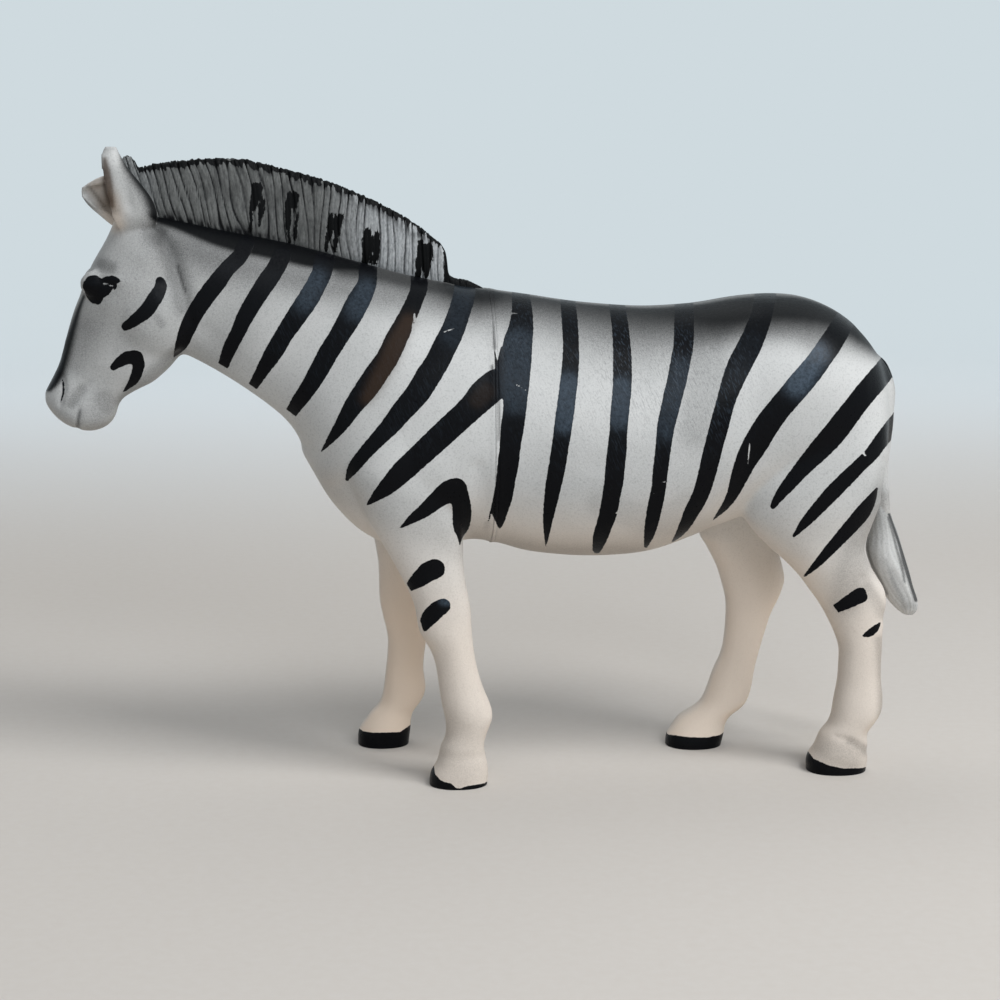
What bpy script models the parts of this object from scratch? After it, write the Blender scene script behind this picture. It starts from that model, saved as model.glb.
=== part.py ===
"""Standing toy zebra: two hollow shells joined at the girth, with a set-in mane and tail.

+X runs towards the tail, -Y is the animal's left side and Z is up from the floor, in metres.
The origin is on the floor, in the middle of the figure's length.
"""
import math

import bmesh
import bpy
import numpy as np
from mathutils import Matrix, Vector

# Trunk sizes: chest point to buttock, floor to belly line, belly line to back line, and widths
TRUNK_LENGTH = 0.1410
TRUNK_FRONT = -0.0460
BELLY_HEIGHT = 0.0512
TRUNK_DEPTH = 0.0603
BARREL_WIDTH = 0.0500

# Neck sizes: withers to poll, and the width across its middle
NECK_LENGTH = 0.0800
NECK_WIDTH = 0.0200

# Head sizes: poll to lip, width across the brow, and the swell of eye and cheek
HEAD_LENGTH = 0.0500
HEAD_WIDTH = 0.0200
EYE_RADIUS = 0.0036
CHEEK_RADIUS = 0.0100

# Ear sizes
EAR_LENGTH = 0.0165
EAR_SPREAD = 0.0065
EAR_THICKNESS = 0.0060
EAR_WALL = 0.0014

# Leg sizes: each hoof's length and width, and where each hoof stands
HOOF_LENGTH = 0.0140
HOOF_WIDTH = 0.0120
NEAR_FORE_X = -0.0097
NEAR_FORE_Y = -0.0168
FAR_FORE_X = -0.0260
FAR_FORE_Y = 0.0195
NEAR_HIND_X = 0.0823
NEAR_HIND_Y = -0.0130
FAR_HIND_X = 0.0514
FAR_HIND_Y = 0.0120
FORE_ROOT_Y = 0.0135
HIND_ROOT_Y = 0.0122

# Mane sizes: crest to top edge, thickness across, how deep it sits in the crest
MANE_HEIGHT = 0.0165
MANE_THICKNESS = 0.0042
MANE_SEAT = 0.0022

# Tail sizes: dock to tip, width across the tuft, and its peg
TAIL_LENGTH = 0.0650
TAIL_WIDTH = 0.0080
TAIL_PEG_RADIUS = 0.0015
TAIL_PEG_LENGTH = 0.0070

# Girth joint sizes: where the shells part, the raised bead between them, and the spigot collar
GIRTH_X = -0.0008
BEAD_WIDTH = 0.0008
BEAD_RISE = 0.0004
COLLAR_REACH = 0.0050
COLLAR_SEAT = 0.0040
COLLAR_WALL = 0.0016

# Moulding sizes: wall of the shells, clearance between pieces, grain of the modelled form
WALL = 0.0022
FIT_GAP = 0.0003
FORM_GRAIN = 0.0008
FORM_FACES = 7600
OVERRUN = 0.0200
SIDES = 28
TRIM_SIDES = 16
LOFT_STEPS = 3
TRIM_STEPS = 2
SLICE_STEPS = 6
HOLLOW_RINGS = 9
COLLAR_RINGS = 5
SMOOTH_PASSES = 6

# How square each ring is, from 2 for an ellipse upwards, and how much wider its lower end is
TRUNK_SQUARENESS = 2.15
NECK_SQUARENESS = 2.40
LIMB_SQUARENESS = 2.20
MANE_SQUARENESS = 3.20
NECK_EGG_SHARE = 0.12
MANE_EGG_SHARE = 0.16

# Places that follow from the sizes above
BACK_HEIGHT = BELLY_HEIGHT + TRUNK_DEPTH
POLL_PLACE_SHARES = (1.040, 0.288)
EYE_PLACE_SHARES = (0.163, -0.320)
EYE_SPREAD_SHARE = 0.28
EYE_SHAPE_SHARES = (1.00, 0.60, 0.85)
CHEEK_PLACE_SHARES = (-0.090, -0.470)
CHEEK_SPREAD_SHARE = 0.26
CHEEK_SHAPE_SHARES = (1.00, 0.50, 1.00)
EAR_OPENING = math.radians(84)
EAR_TIP_WALL_SHARE = 0.80
DOCK_RISE_SHARE = 0.776
PEG_DROP_SHARE = 0.08
PEG_TILT = math.radians(20)
SOLE_OVERRUN_SHARE = 0.25
LEG_SPLIT_SHARE = 0.90
CHEST_HOLLOW_SHARE = 0.07
BARREL_HOLLOW_SHARE = 0.93

# Trunk, chest to buttock: along, top, bottom, half width, egg
TRUNK_SHARES = (
    (0.004, 0.544, 0.444, 0.18, 0.00),
    (0.021, 0.677, 0.370, 0.40, 0.00),
    (0.057, 0.892, 0.229, 0.62, 0.00),
    (0.113, 1.041, 0.104, 0.77, 0.05),
    (0.184, 1.085, 0.048, 0.86, 0.10),
    (0.255, 1.090, 0.082, 0.90, 0.10),
    (0.319, 1.073, 0.076, 0.93, 0.12),
    (0.383, 1.050, 0.035, 0.97, 0.12),
    (0.454, 1.025, 0.015, 1.00, 0.12),
    (0.525, 1.007, 0.012, 1.00, 0.12),
    (0.596, 1.000, 0.031, 0.98, 0.10),
    (0.667, 1.010, 0.088, 0.95, 0.08),
    (0.738, 1.035, 0.150, 0.93, 0.04),
    (0.794, 1.045, 0.187, 0.94, 0.00),
    (0.851, 1.032, 0.204, 0.92, 0.00),
    (0.901, 0.987, 0.212, 0.87, 0.00),
    (0.943, 0.918, 0.229, 0.77, 0.00),
    (0.975, 0.831, 0.270, 0.62, 0.00),
    (0.992, 0.726, 0.362, 0.40, 0.00),
    (0.999, 0.627, 0.478, 0.16, 0.00),
)

# Neck, poll to withers: crest ahead and rise, throat ahead and rise, half width
NECK_SHARES = (
    (1.039, 0.281, 0.939, -0.106, 0.75),
    (0.951, 0.274, 0.857, -0.146, 0.82),
    (0.789, 0.239, 0.765, -0.201, 0.90),
    (0.614, 0.204, 0.664, -0.274, 1.05),
    (0.439, 0.157, 0.595, -0.336, 1.30),
    (0.264, 0.106, 0.550, -0.411, 1.65),
    (0.101, 0.070, 0.501, -0.519, 1.95),
    (-0.024, 0.019, 0.401, -0.594, 1.85),
)

# Head, poll to lip: front ahead and rise, jaw ahead and rise, half width, egg
HEAD_SHARES = (
    (0.050, 0.034, -0.200, -0.150, 0.65, 0.00),
    (0.105, -0.100, -0.250, -0.270, 0.84, -0.05),
    (0.190, -0.246, -0.254, -0.390, 0.94, -0.10),
    (0.236, -0.362, -0.244, -0.520, 0.92, 0.00),
    (0.280, -0.464, -0.206, -0.665, 0.82, 0.15),
    (0.320, -0.590, -0.096, -0.782, 0.68, 0.15),
    (0.352, -0.700, -0.002, -0.832, 0.58, 0.05),
    (0.392, -0.782, 0.072, -0.878, 0.58, 0.00),
    (0.426, -0.850, 0.098, -0.946, 0.66, 0.00),
    (0.414, -0.904, 0.132, -0.992, 0.67, 0.00),
    (0.366, -0.962, 0.184, -1.018, 0.55, 0.00),
    (0.316, -0.996, 0.232, -1.022, 0.28, 0.00),
)

# Legs, root to sole: height, offset from the hoof, depth, half width
NEAR_FORE_SHARES = (
    (1.950, -0.120, 1.00, 0.66),
    (1.750, -0.210, 1.50, 1.12),
    (1.523, -0.270, 1.80, 1.36),
    (1.309, -0.211, 1.64, 1.26),
    (1.117, -0.154, 1.31, 1.03),
    (1.004, -0.119, 1.12, 0.93),
    (0.910, -0.088, 1.00, 0.88),
    (0.826, -0.064, 0.94, 0.85),
    (0.721, -0.053, 0.89, 0.84),
    (0.629, -0.023, 0.74, 0.77),
    (0.551, -0.004, 0.70, 0.74),
    (0.445, 0.020, 0.76, 0.76),
    (0.363, 0.043, 0.83, 0.82),
    (0.307, 0.053, 0.81, 0.82),
    (0.234, 0.041, 0.70, 0.77),
    (0.178, 0.021, 0.74, 0.82),
    (0.102, 0.018, 0.86, 0.92),
    (0.055, 0.006, 0.99, 1.00),
    (0.000, 0.000, 0.98, 1.00),
)
FAR_FORE_SHARES = (
    (1.950, 0.190, 1.00, 0.66),
    (1.750, 0.100, 1.50, 1.12),
    (1.523, 0.045, 1.80, 1.36),
    (1.309, 0.088, 1.57, 1.26),
    (1.113, 0.111, 1.22, 1.03),
    (0.996, 0.113, 1.05, 0.93),
    (0.920, 0.111, 0.96, 0.88),
    (0.770, 0.109, 0.93, 0.85),
    (0.674, 0.113, 0.85, 0.84),
    (0.562, 0.119, 0.71, 0.77),
    (0.471, 0.113, 0.67, 0.74),
    (0.381, 0.105, 0.68, 0.76),
    (0.279, 0.105, 0.76, 0.82),
    (0.207, 0.080, 0.72, 0.80),
    (0.170, 0.047, 0.74, 0.80),
    (0.129, 0.027, 0.81, 0.87),
    (0.070, 0.006, 0.93, 0.97),
    (0.000, 0.000, 0.91, 1.00),
)
NEAR_HIND_SHARES = (
    (2.030, -0.100, 1.00, 0.70),
    (1.836, -0.080, 1.80, 1.25),
    (1.562, -0.095, 2.25, 1.63),
    (1.367, -0.133, 2.43, 1.70),
    (1.250, -0.146, 2.36, 1.63),
    (1.168, -0.143, 2.07, 1.50),
    (1.072, -0.113, 1.62, 1.33),
    (1.010, -0.070, 1.42, 1.22),
    (0.934, -0.012, 1.32, 1.10),
    (0.867, 0.033, 1.29, 1.02),
    (0.801, 0.063, 1.16, 0.95),
    (0.734, 0.078, 0.99, 0.90),
    (0.664, 0.092, 0.84, 0.85),
    (0.586, 0.104, 0.74, 0.82),
    (0.504, 0.102, 0.73, 0.81),
    (0.432, 0.102, 0.75, 0.82),
    (0.344, 0.100, 0.85, 0.88),
    (0.277, 0.092, 0.86, 0.91),
    (0.225, 0.068, 0.81, 0.87),
    (0.180, 0.031, 0.83, 0.87),
    (0.119, 0.021, 0.92, 0.95),
    (0.062, 0.004, 1.06, 1.03),
    (0.000, 0.000, 1.02, 1.03),
)
FAR_HIND_SHARES = (
    (2.030, 0.480, 1.00, 0.70),
    (1.836, 0.470, 1.80, 1.25),
    (1.562, 0.400, 2.25, 1.63),
    (1.367, 0.314, 2.21, 1.66),
    (1.211, 0.256, 1.86, 1.53),
    (1.062, 0.215, 1.49, 1.33),
    (0.988, 0.227, 1.28, 1.22),
    (0.889, 0.264, 1.18, 1.08),
    (0.814, 0.283, 1.14, 1.00),
    (0.729, 0.281, 0.96, 0.92),
    (0.654, 0.264, 0.81, 0.85),
    (0.549, 0.246, 0.71, 0.82),
    (0.455, 0.225, 0.68, 0.80),
    (0.365, 0.195, 0.75, 0.82),
    (0.285, 0.176, 0.80, 0.87),
    (0.215, 0.150, 0.83, 0.88),
    (0.176, 0.109, 0.88, 0.87),
    (0.146, 0.063, 0.89, 0.87),
    (0.104, 0.031, 0.93, 0.93),
    (0.047, 0.008, 1.03, 1.02),
    (0.000, 0.000, 0.99, 1.03),
)

# Ears, root to tip: fore edge ahead and rise, rear edge ahead and rise, sideways, half thickness
NEAR_EAR_SHARES = (
    (0.14, -0.34, -0.22, -0.34, 0.55, 0.75),
    (0.33, -0.08, -0.37, -0.10, 0.84, 0.90),
    (0.39, 0.18, -0.33, 0.15, 0.94, 0.95),
    (0.41, 0.42, -0.16, 0.41, 1.03, 0.84),
    (0.42, 0.64, 0.00, 0.62, 1.10, 0.68),
    (0.41, 0.82, 0.10, 0.80, 1.15, 0.52),
    (0.34, 0.95, 0.17, 0.95, 1.18, 0.30),
)
FAR_EAR_SHARES = (
    (-0.12, -0.10, 0.05, -0.40, 0.55, 0.75),
    (0.00, 0.22, 0.20, -0.28, 0.86, 0.90),
    (0.18, 0.46, 0.33, -0.21, 1.06, 0.86),
    (0.40, 0.48, 0.47, -0.10, 1.24, 0.72),
    (0.60, 0.39, 0.64, 0.05, 1.40, 0.54),
    (0.74, 0.30, 0.74, 0.18, 1.50, 0.30),
)

# Mane, forelock to withers: ahead, crest rise, height above the crest, thickness, seat depth
MANE_SHARES = (
    (1.066, 0.302, 0.52, 0.62, 1.00),
    (1.046, 0.296, 0.73, 0.84, 1.00),
    (1.014, 0.286, 0.70, 0.96, 1.00),
    (0.982, 0.279, 0.72, 1.00, 1.00),
    (0.925, 0.268, 0.81, 1.00, 1.00),
    (0.841, 0.249, 0.94, 1.00, 1.00),
    (0.724, 0.223, 1.06, 1.00, 1.00),
    (0.609, 0.201, 1.04, 1.00, 1.00),
    (0.492, 0.171, 1.03, 1.00, 1.00),
    (0.378, 0.138, 0.97, 1.00, 1.00),
    (0.260, 0.105, 0.84, 1.00, 0.95),
    (0.182, 0.085, 0.68, 0.96, 0.80),
    (0.131, 0.074, 0.48, 0.86, 0.45),
    (0.116, 0.070, 0.14, 0.80, 0.30),
    (0.064, 0.065, 0.10, 0.74, 0.30),
    (0.028, 0.058, 0.05, 0.62, 0.30),
)

# Tail, dock to tip: outer edge back and down, inner edge back and down, half width
TAIL_SHARES = (
    (-0.025, -0.034, -0.074, 0.015, 0.40),
    (0.017, 0.009, -0.055, 0.068, 0.65),
    (0.048, 0.092, -0.031, 0.132, 0.78),
    (0.049, 0.185, -0.026, 0.200, 0.78),
    (0.040, 0.300, -0.029, 0.303, 0.73),
    (0.032, 0.414, -0.032, 0.414, 0.68),
    (0.028, 0.520, -0.032, 0.520, 0.65),
    (0.038, 0.592, -0.034, 0.592, 0.73),
    (0.060, 0.646, -0.043, 0.646, 0.85),
    (0.083, 0.715, -0.054, 0.715, 1.02),
    (0.106, 0.788, -0.032, 0.786, 1.07),
    (0.126, 0.854, 0.000, 0.851, 1.00),
    (0.146, 0.911, 0.032, 0.908, 0.83),
    (0.148, 0.948, 0.065, 0.945, 0.60),
    (0.132, 0.971, 0.095, 0.968, 0.28),
)


def clear_scene():
    for thing in list(bpy.data.objects):
        bpy.data.objects.remove(thing, do_unlink=True)


def collection(name):
    made = bpy.data.collections.new(name)
    bpy.context.scene.collection.children.link(made)
    return made


def finish(name, colour, roughness):
    made = bpy.data.materials.new(name)
    made.use_nodes = True
    shader = made.node_tree.nodes["Principled BSDF"]
    shader.inputs["Base Color"].default_value = (*colour, 1.0)
    shader.inputs["Roughness"].default_value = roughness
    shader.inputs["Metallic"].default_value = 0.0
    return made


def smooth_rows(rows, steps):
    """Catmull-Rom curve through the rows of a table, with the given steps in each span."""
    rows = np.array(rows, dtype=float)
    padded = np.vstack([2 * rows[0] - rows[1], rows, 2 * rows[-1] - rows[-2]])
    made = []
    for span in range(1, len(padded) - 2):
        before, start, end, after = padded[span - 1:span + 3]
        for step in range(steps):
            t = step / steps
            made.append(0.5 * (2 * start + (end - before) * t
                               + (2 * before - 5 * start + 4 * end - after) * t ** 2
                               + (3 * start - 3 * end + after - before) * t ** 3))
    made.append(rows[-1])
    return np.array(made)


def section(upper, lower, middle, half, egg=0.0, square=2.0, sides=SIDES):
    """One ring of a loft, between two points of the XZ plane; egg widens its lower end."""
    upper, lower = np.array(upper), np.array(lower)
    centre, reach = (upper + lower) / 2, (upper - lower) / 2
    ring = []
    for side in range(sides):
        angle = 2 * math.pi * side / sides
        along = math.copysign(abs(math.cos(angle)) ** (2 / square), math.cos(angle))
        across = math.copysign(abs(math.sin(angle)) ** (2 / square), math.sin(angle))
        place = centre + reach * along
        ring.append((place[0], middle + half * across * (1 - egg * along), place[1]))
    return ring


def loft(bm, rings):
    """Closed skin over the rings, with a face at each end."""
    made = [[bm.verts.new(point) for point in ring] for ring in rings]
    sides = len(rings[0])
    for first, second in zip(made, made[1:]):
        for side in range(sides):
            following = (side + 1) % sides
            bm.faces.new((first[side], first[following], second[following], second[side]))
    bm.faces.new(made[0])
    bm.faces.new(list(reversed(made[-1])))


def new_mesh(name, build):
    bm = bmesh.new()
    build(bm)
    bmesh.ops.recalc_face_normals(bm, faces=bm.faces)
    mesh = bpy.data.meshes.new(name)
    bm.to_mesh(mesh)
    bm.free()
    return mesh


def add_object(name, mesh, home, material=None):
    made = bpy.data.objects.new(name, mesh)
    home.objects.link(made)
    if material:
        mesh.materials.clear()
        mesh.materials.append(material)
    return made


def add_cutter(name, mesh, home):
    made = add_object(name, mesh, home)
    made.hide_render = True
    made.display_type = "WIRE"
    return made


def applied(thing):
    """The object's mesh with its modifiers applied."""
    graph = bpy.context.evaluated_depsgraph_get()
    return bpy.data.meshes.new_from_object(thing.evaluated_get(graph))


def boolean(thing, cutter, operation):
    step = thing.modifiers.new(cutter.name, "BOOLEAN")
    step.object = cutter
    step.operation = operation
    step.solver = "EXACT"


def box_mesh(name, low, high):
    def build(bm):
        size = Vector(high) - Vector(low)
        place = Matrix.Translation((Vector(low) + Vector(high)) / 2) @ Matrix.Diagonal((*size, 1))
        bmesh.ops.create_cube(bm, size=1, matrix=place)
    return new_mesh(name, build)


def trunk_sections(rows, inset=0.0, sides=SIDES):
    rings = []
    for along, top, bottom, half, egg in rows:
        x = TRUNK_FRONT + along * TRUNK_LENGTH
        upper = (x, BELLY_HEIGHT + top * TRUNK_DEPTH - inset)
        lower = (x, BELLY_HEIGHT + bottom * TRUNK_DEPTH + inset)
        reach = half * BARREL_WIDTH / 2 - inset
        rings.append(section(upper, lower, 0, reach, egg, TRUNK_SQUARENESS, sides))
    return rings


def trunk_slice(start, end, count, inset):
    """Trunk rings between two places along X, drawn in from the skin by the inset."""
    table = smooth_rows(TRUNK_SHARES, SLICE_STEPS)
    picked = []
    for step in range(count):
        along = (start + (end - start) * step / (count - 1) - TRUNK_FRONT) / TRUNK_LENGTH
        picked.append([along] + [np.interp(along, table[:, 0], table[:, i]) for i in range(1, 5)])
    return trunk_sections(picked, inset, TRIM_SIDES)


def neck_point(ahead, rise):
    return GIRTH_X - ahead * NECK_LENGTH, BACK_HEIGHT + rise * NECK_LENGTH


def neck_sections(rows, inset=0.0, roof=0.0, sides=SIDES):
    """Neck rings, drawn in from the skin by the inset, and by the roof as well under the crest."""
    rings = []
    for crest_x, crest_z, throat_x, throat_z, half in rows:
        upper = Vector(neck_point(crest_x, crest_z))
        lower = Vector(neck_point(throat_x, throat_z))
        inward = (lower - upper).normalized()
        upper += inward * (inset + roof)
        lower -= inward * inset
        reach = half * NECK_WIDTH / 2 - inset
        rings.append(section(upper, lower, 0, reach, NECK_EGG_SHARE, NECK_SQUARENESS, sides))
    return rings


def head_point(ahead, rise):
    poll = neck_point(*POLL_PLACE_SHARES)
    return poll[0] - ahead * HEAD_LENGTH, poll[1] + rise * HEAD_LENGTH


def head_sections():
    rings = []
    for front_x, front_z, jaw_x, jaw_z, half, egg in smooth_rows(HEAD_SHARES, LOFT_STEPS):
        upper, lower = head_point(front_x, front_z), head_point(jaw_x, jaw_z)
        rings.append(section(upper, lower, 0, half * HEAD_WIDTH / 2, egg, LIMB_SQUARENESS))
    return rings


def leg_sections(table, hoof_x, hoof_y, root_y):
    rings = []
    for height, offset, depth, half in smooth_rows(table, LOFT_STEPS):
        z = height * BELLY_HEIGHT
        x = hoof_x + offset * BELLY_HEIGHT
        reach = depth * HOOF_LENGTH / 2
        y = hoof_y + (root_y - hoof_y) * min(height, 1)
        thick = half * HOOF_WIDTH / 2
        rings.append(section((x - reach, z), (x + reach, z), y, thick, 0, LIMB_SQUARENESS))
    sole = rings[-1]
    rings.append([(x, y, z - HOOF_LENGTH * SOLE_OVERRUN_SHARE) for x, y, z in sole])
    return rings


def swell(bm, place, radius, shape_shares):
    """A rounded muscle or bulge, buried in the form that carries it."""
    radii = Vector(shape_shares) * radius
    shape = Matrix.Translation(place) @ Matrix.Diagonal((*radii, 1))
    bmesh.ops.create_uvsphere(bm, u_segments=SIDES, v_segments=SIDES // 2, radius=1, matrix=shape)


def build_form(bm):
    """Trunk, neck, head, ears and legs as overlapping closed skins."""
    loft(bm, trunk_sections(smooth_rows(TRUNK_SHARES, LOFT_STEPS)))
    loft(bm, neck_sections(smooth_rows(NECK_SHARES, LOFT_STEPS)))
    loft(bm, head_sections())
    loft(bm, leg_sections(NEAR_FORE_SHARES, NEAR_FORE_X, NEAR_FORE_Y, -FORE_ROOT_Y))
    loft(bm, leg_sections(FAR_FORE_SHARES, FAR_FORE_X, FAR_FORE_Y, FORE_ROOT_Y))
    loft(bm, leg_sections(NEAR_HIND_SHARES, NEAR_HIND_X, NEAR_HIND_Y, -HIND_ROOT_Y))
    loft(bm, leg_sections(FAR_HIND_SHARES, FAR_HIND_X, FAR_HIND_Y, HIND_ROOT_Y))
    eye_x, eye_z = head_point(*EYE_PLACE_SHARES)
    cheek_x, cheek_z = head_point(*CHEEK_PLACE_SHARES)
    for side in (-1, 1):
        eye_y = side * HEAD_WIDTH * EYE_SPREAD_SHARE
        cheek_y = side * HEAD_WIDTH * CHEEK_SPREAD_SHARE
        swell(bm, (eye_x, eye_y, eye_z), EYE_RADIUS, EYE_SHAPE_SHARES)
        swell(bm, (cheek_x, cheek_y, cheek_z), CHEEK_RADIUS, CHEEK_SHAPE_SHARES)
    loft(bm, ear_sections(NEAR_EAR_SHARES, -1, 0))
    loft(bm, ear_sections(FAR_EAR_SHARES, 1, -math.pi / 2))


def moulded_form(home):
    """The whole animal as one smooth skin, cut flat at the soles."""
    draft = add_object("form_draft", new_mesh("form_draft", build_form), home)
    grain = draft.modifiers.new("grain", "REMESH")
    grain.mode = "VOXEL"
    grain.voxel_size = FORM_GRAIN
    soften = draft.modifiers.new("soften", "SMOOTH")
    soften.iterations = SMOOTH_PASSES
    fine = applied(draft)
    triangles = sum(len(face.vertices) - 2 for face in fine.polygons)
    thin = draft.modifiers.new("thin", "DECIMATE")
    thin.ratio = FORM_FACES / triangles
    low = (-TRUNK_LENGTH, -BARREL_WIDTH, -OVERRUN)
    high = (TRUNK_LENGTH, BARREL_WIDTH, 0)
    floor = add_cutter("floor_cutter", box_mesh("floor_cutter", low, high), home)
    boolean(draft, floor, "DIFFERENCE")
    mesh = applied(draft)
    bpy.data.objects.remove(draft)
    bpy.data.objects.remove(floor)
    return mesh


def region(name, start, end, bottom, top, home):
    """A box across the whole animal between two places along X and two heights."""
    mesh = box_mesh(name, (start, -BARREL_WIDTH, bottom), (end, BARREL_WIDTH, top))
    return add_cutter(name, mesh, home)


def loft_cutter(name, rings, home):
    return add_cutter(name, new_mesh(name, lambda bm: loft(bm, rings)), home)


def ear_edges(row, side):
    """Fore edge, rear edge, sideways place and half thickness of one row of an ear's table."""
    poll = Vector(neck_point(*POLL_PLACE_SHARES))
    fore = poll + Vector((-row[0], row[1])) * EAR_LENGTH
    rear = poll + Vector((-row[2], row[3])) * EAR_LENGTH
    return fore, rear, side * row[4] * EAR_SPREAD, row[5] * EAR_THICKNESS / 2


def ear_sections(table, side, facing):
    """Rings round the wall of a cupped ear, open towards the facing angle."""
    rings = []
    for row in smooth_rows(table, TRIM_STEPS):
        fore, rear, middle, half = ear_edges(row, side)
        centre, reach = (fore + rear) / 2, (fore - rear) / 2
        outer, inner = [], []
        for step in range(TRIM_SIDES + 1):
            angle = facing + EAR_OPENING / 2 + (2 * math.pi - EAR_OPENING) * step / TRIM_SIDES
            for ring, wall in ((outer, 0), (inner, min(EAR_WALL, half * EAR_TIP_WALL_SHARE))):
                along = centre + reach * math.cos(angle) * (1 - wall / (reach.length + EAR_WALL))
                across = middle + (half - wall) * math.sin(angle)
                ring.append((along[0], across, along[1]))
        rings.append(outer + inner[::-1])
    return rings


def mane_sections(grow=0.0):
    rings = []
    rows = smooth_rows(MANE_SHARES, TRIM_STEPS)
    for index, (ahead, rise, height, thick, seat) in enumerate(rows):
        x, z = neck_point(ahead, rise)
        if index == 0:
            x -= grow
        if index == len(rows) - 1:
            x += grow
        upper = (x, z + height * MANE_HEIGHT + grow)
        lower = (x, z - seat * MANE_SEAT - grow)
        half = thick * MANE_THICKNESS / 2 + grow
        rings.append(section(upper, lower, 0, half, MANE_EGG_SHARE, MANE_SQUARENESS, TRIM_SIDES))
    return rings


def tail_point(back, down):
    dock_z = BELLY_HEIGHT + TRUNK_DEPTH * DOCK_RISE_SHARE
    return Vector((TRUNK_FRONT + TRUNK_LENGTH + back * TAIL_LENGTH, dock_z - down * TAIL_LENGTH))


def tail_sections(grow=0.0):
    rings = []
    for outer_x, outer_z, inner_x, inner_z, half in smooth_rows(TAIL_SHARES, TRIM_STEPS):
        outer, inner = tail_point(outer_x, outer_z), tail_point(inner_x, inner_z)
        push = (outer - inner).normalized() * grow
        thick = half * TAIL_WIDTH / 2 + grow
        rings.append(section(outer + push, inner - push, 0, thick, 0, LIMB_SQUARENESS, TRIM_SIDES))
    return rings


def peg_mesh(name, grow=0.0):
    """The tail's peg, pointing forward and slightly down from the dock."""
    root_x, root_z = tail_point(0, PEG_DROP_SHARE)
    aim = Vector((-math.cos(PEG_TILT), 0, -math.sin(PEG_TILT)))
    turn = aim.to_track_quat("Z", "Y").to_matrix().to_4x4()
    length = TAIL_PEG_LENGTH + grow
    radius = TAIL_PEG_RADIUS + grow
    place = Matrix.Translation(Vector((root_x, 0, root_z)) + aim * length / 2) @ turn

    def build(bm):
        bmesh.ops.create_cone(bm, cap_ends=True, segments=TRIM_SIDES, radius1=radius,
                              radius2=radius, depth=length, matrix=place)
    return new_mesh(name, build)


def grown(mesh, name, amount):
    """A copy of a mesh with each point moved out along its normal."""
    made = mesh.copy()
    made.name = name
    normals = [vertex.normal.copy() for vertex in made.vertices]
    for vertex, normal in zip(made.vertices, normals):
        vertex.co += normal * amount
    return made


clear_scene()
parts = collection("toy_zebra")
cutters = collection("cutters")
pvc_white = finish("painted_pvc", (0.80, 0.79, 0.76), 0.42)
pvc_grey = finish("grey_mane_pvc", (0.30, 0.30, 0.31), 0.55)
pvc_tail = finish("tail_pvc", (0.72, 0.71, 0.69), 0.45)
glue = finish("clear_adhesive", (0.70, 0.69, 0.66), 0.35)

form = moulded_form(cutters)
front_end = GIRTH_X - BEAD_WIDTH / 2 - FIT_GAP
rear_start = GIRTH_X + BEAD_WIDTH / 2 + FIT_GAP
far_front = TRUNK_FRONT - NECK_LENGTH - HEAD_LENGTH
far_rear = TRUNK_FRONT + TRUNK_LENGTH + TAIL_LENGTH

between_legs = (NEAR_FORE_X + FAR_HIND_X) / 2
leg_top = BELLY_HEIGHT * LEG_SPLIT_SHARE
sky = BACK_HEIGHT + NECK_LENGTH

# Front shell: everything ahead of the girth, hollow back to it
behind_girth = region("behind_girth", front_end, far_rear, leg_top, sky, cutters)
hind_legs = region("hind_legs", between_legs, far_rear, -OVERRUN, leg_top + OVERRUN, cutters)
chest_start = TRUNK_FRONT + TRUNK_LENGTH * CHEST_HOLLOW_SHARE
chest_rings = trunk_slice(chest_start, front_end + OVERRUN, HOLLOW_RINGS, WALL)
chest_hollow = loft_cutter("chest_hollow", chest_rings, cutters)
neck_rows = smooth_rows(NECK_SHARES[2:7], TRIM_STEPS)
neck_rings = neck_sections(neck_rows, WALL, MANE_SEAT, TRIM_SIDES)
neck_hollow = loft_cutter("neck_hollow", neck_rings, cutters)
mane_slot = loft_cutter("mane_slot", mane_sections(FIT_GAP), cutters)
front_shell = add_object("front_shell", form.copy(), parts, pvc_white)
boolean(front_shell, behind_girth, "DIFFERENCE")
boolean(front_shell, hind_legs, "DIFFERENCE")
boolean(front_shell, chest_hollow, "DIFFERENCE")
boolean(front_shell, neck_hollow, "DIFFERENCE")
boolean(front_shell, mane_slot, "DIFFERENCE")

# Rear shell: everything behind the girth, with its spigot collar and its hollow
ahead_of_girth = region("ahead_of_girth", far_front, rear_start, leg_top, sky, cutters)
fore_legs = region("fore_legs", far_front, between_legs, -OVERRUN, leg_top + FIT_GAP, cutters)
collar_end = GIRTH_X - COLLAR_REACH
collar_back = GIRTH_X + COLLAR_SEAT
collar_skin = WALL + FIT_GAP
collar_rings = trunk_slice(collar_end, collar_back, COLLAR_RINGS, collar_skin)
collar = loft_cutter("collar", collar_rings, cutters)
barrel_end = TRUNK_FRONT + TRUNK_LENGTH * BARREL_HOLLOW_SHARE
bore_skin = collar_skin + COLLAR_WALL
barrel_rings = trunk_slice(collar_end - OVERRUN, collar_back, COLLAR_RINGS, bore_skin)
barrel_rings += trunk_slice(collar_back, barrel_end, HOLLOW_RINGS, WALL)
barrel_hollow = loft_cutter("barrel_hollow", barrel_rings, cutters)
tail_seat = loft_cutter("tail_seat", tail_sections(FIT_GAP), cutters)
peg_socket = add_cutter("peg_socket", peg_mesh("peg_socket", FIT_GAP), cutters)
rear_shell = add_object("rear_shell", form.copy(), parts, pvc_white)
boolean(rear_shell, ahead_of_girth, "DIFFERENCE")
boolean(rear_shell, fore_legs, "DIFFERENCE")
boolean(rear_shell, collar, "UNION")
boolean(rear_shell, barrel_hollow, "DIFFERENCE")
boolean(rear_shell, tail_seat, "DIFFERENCE")
boolean(rear_shell, peg_socket, "DIFFERENCE")

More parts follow.
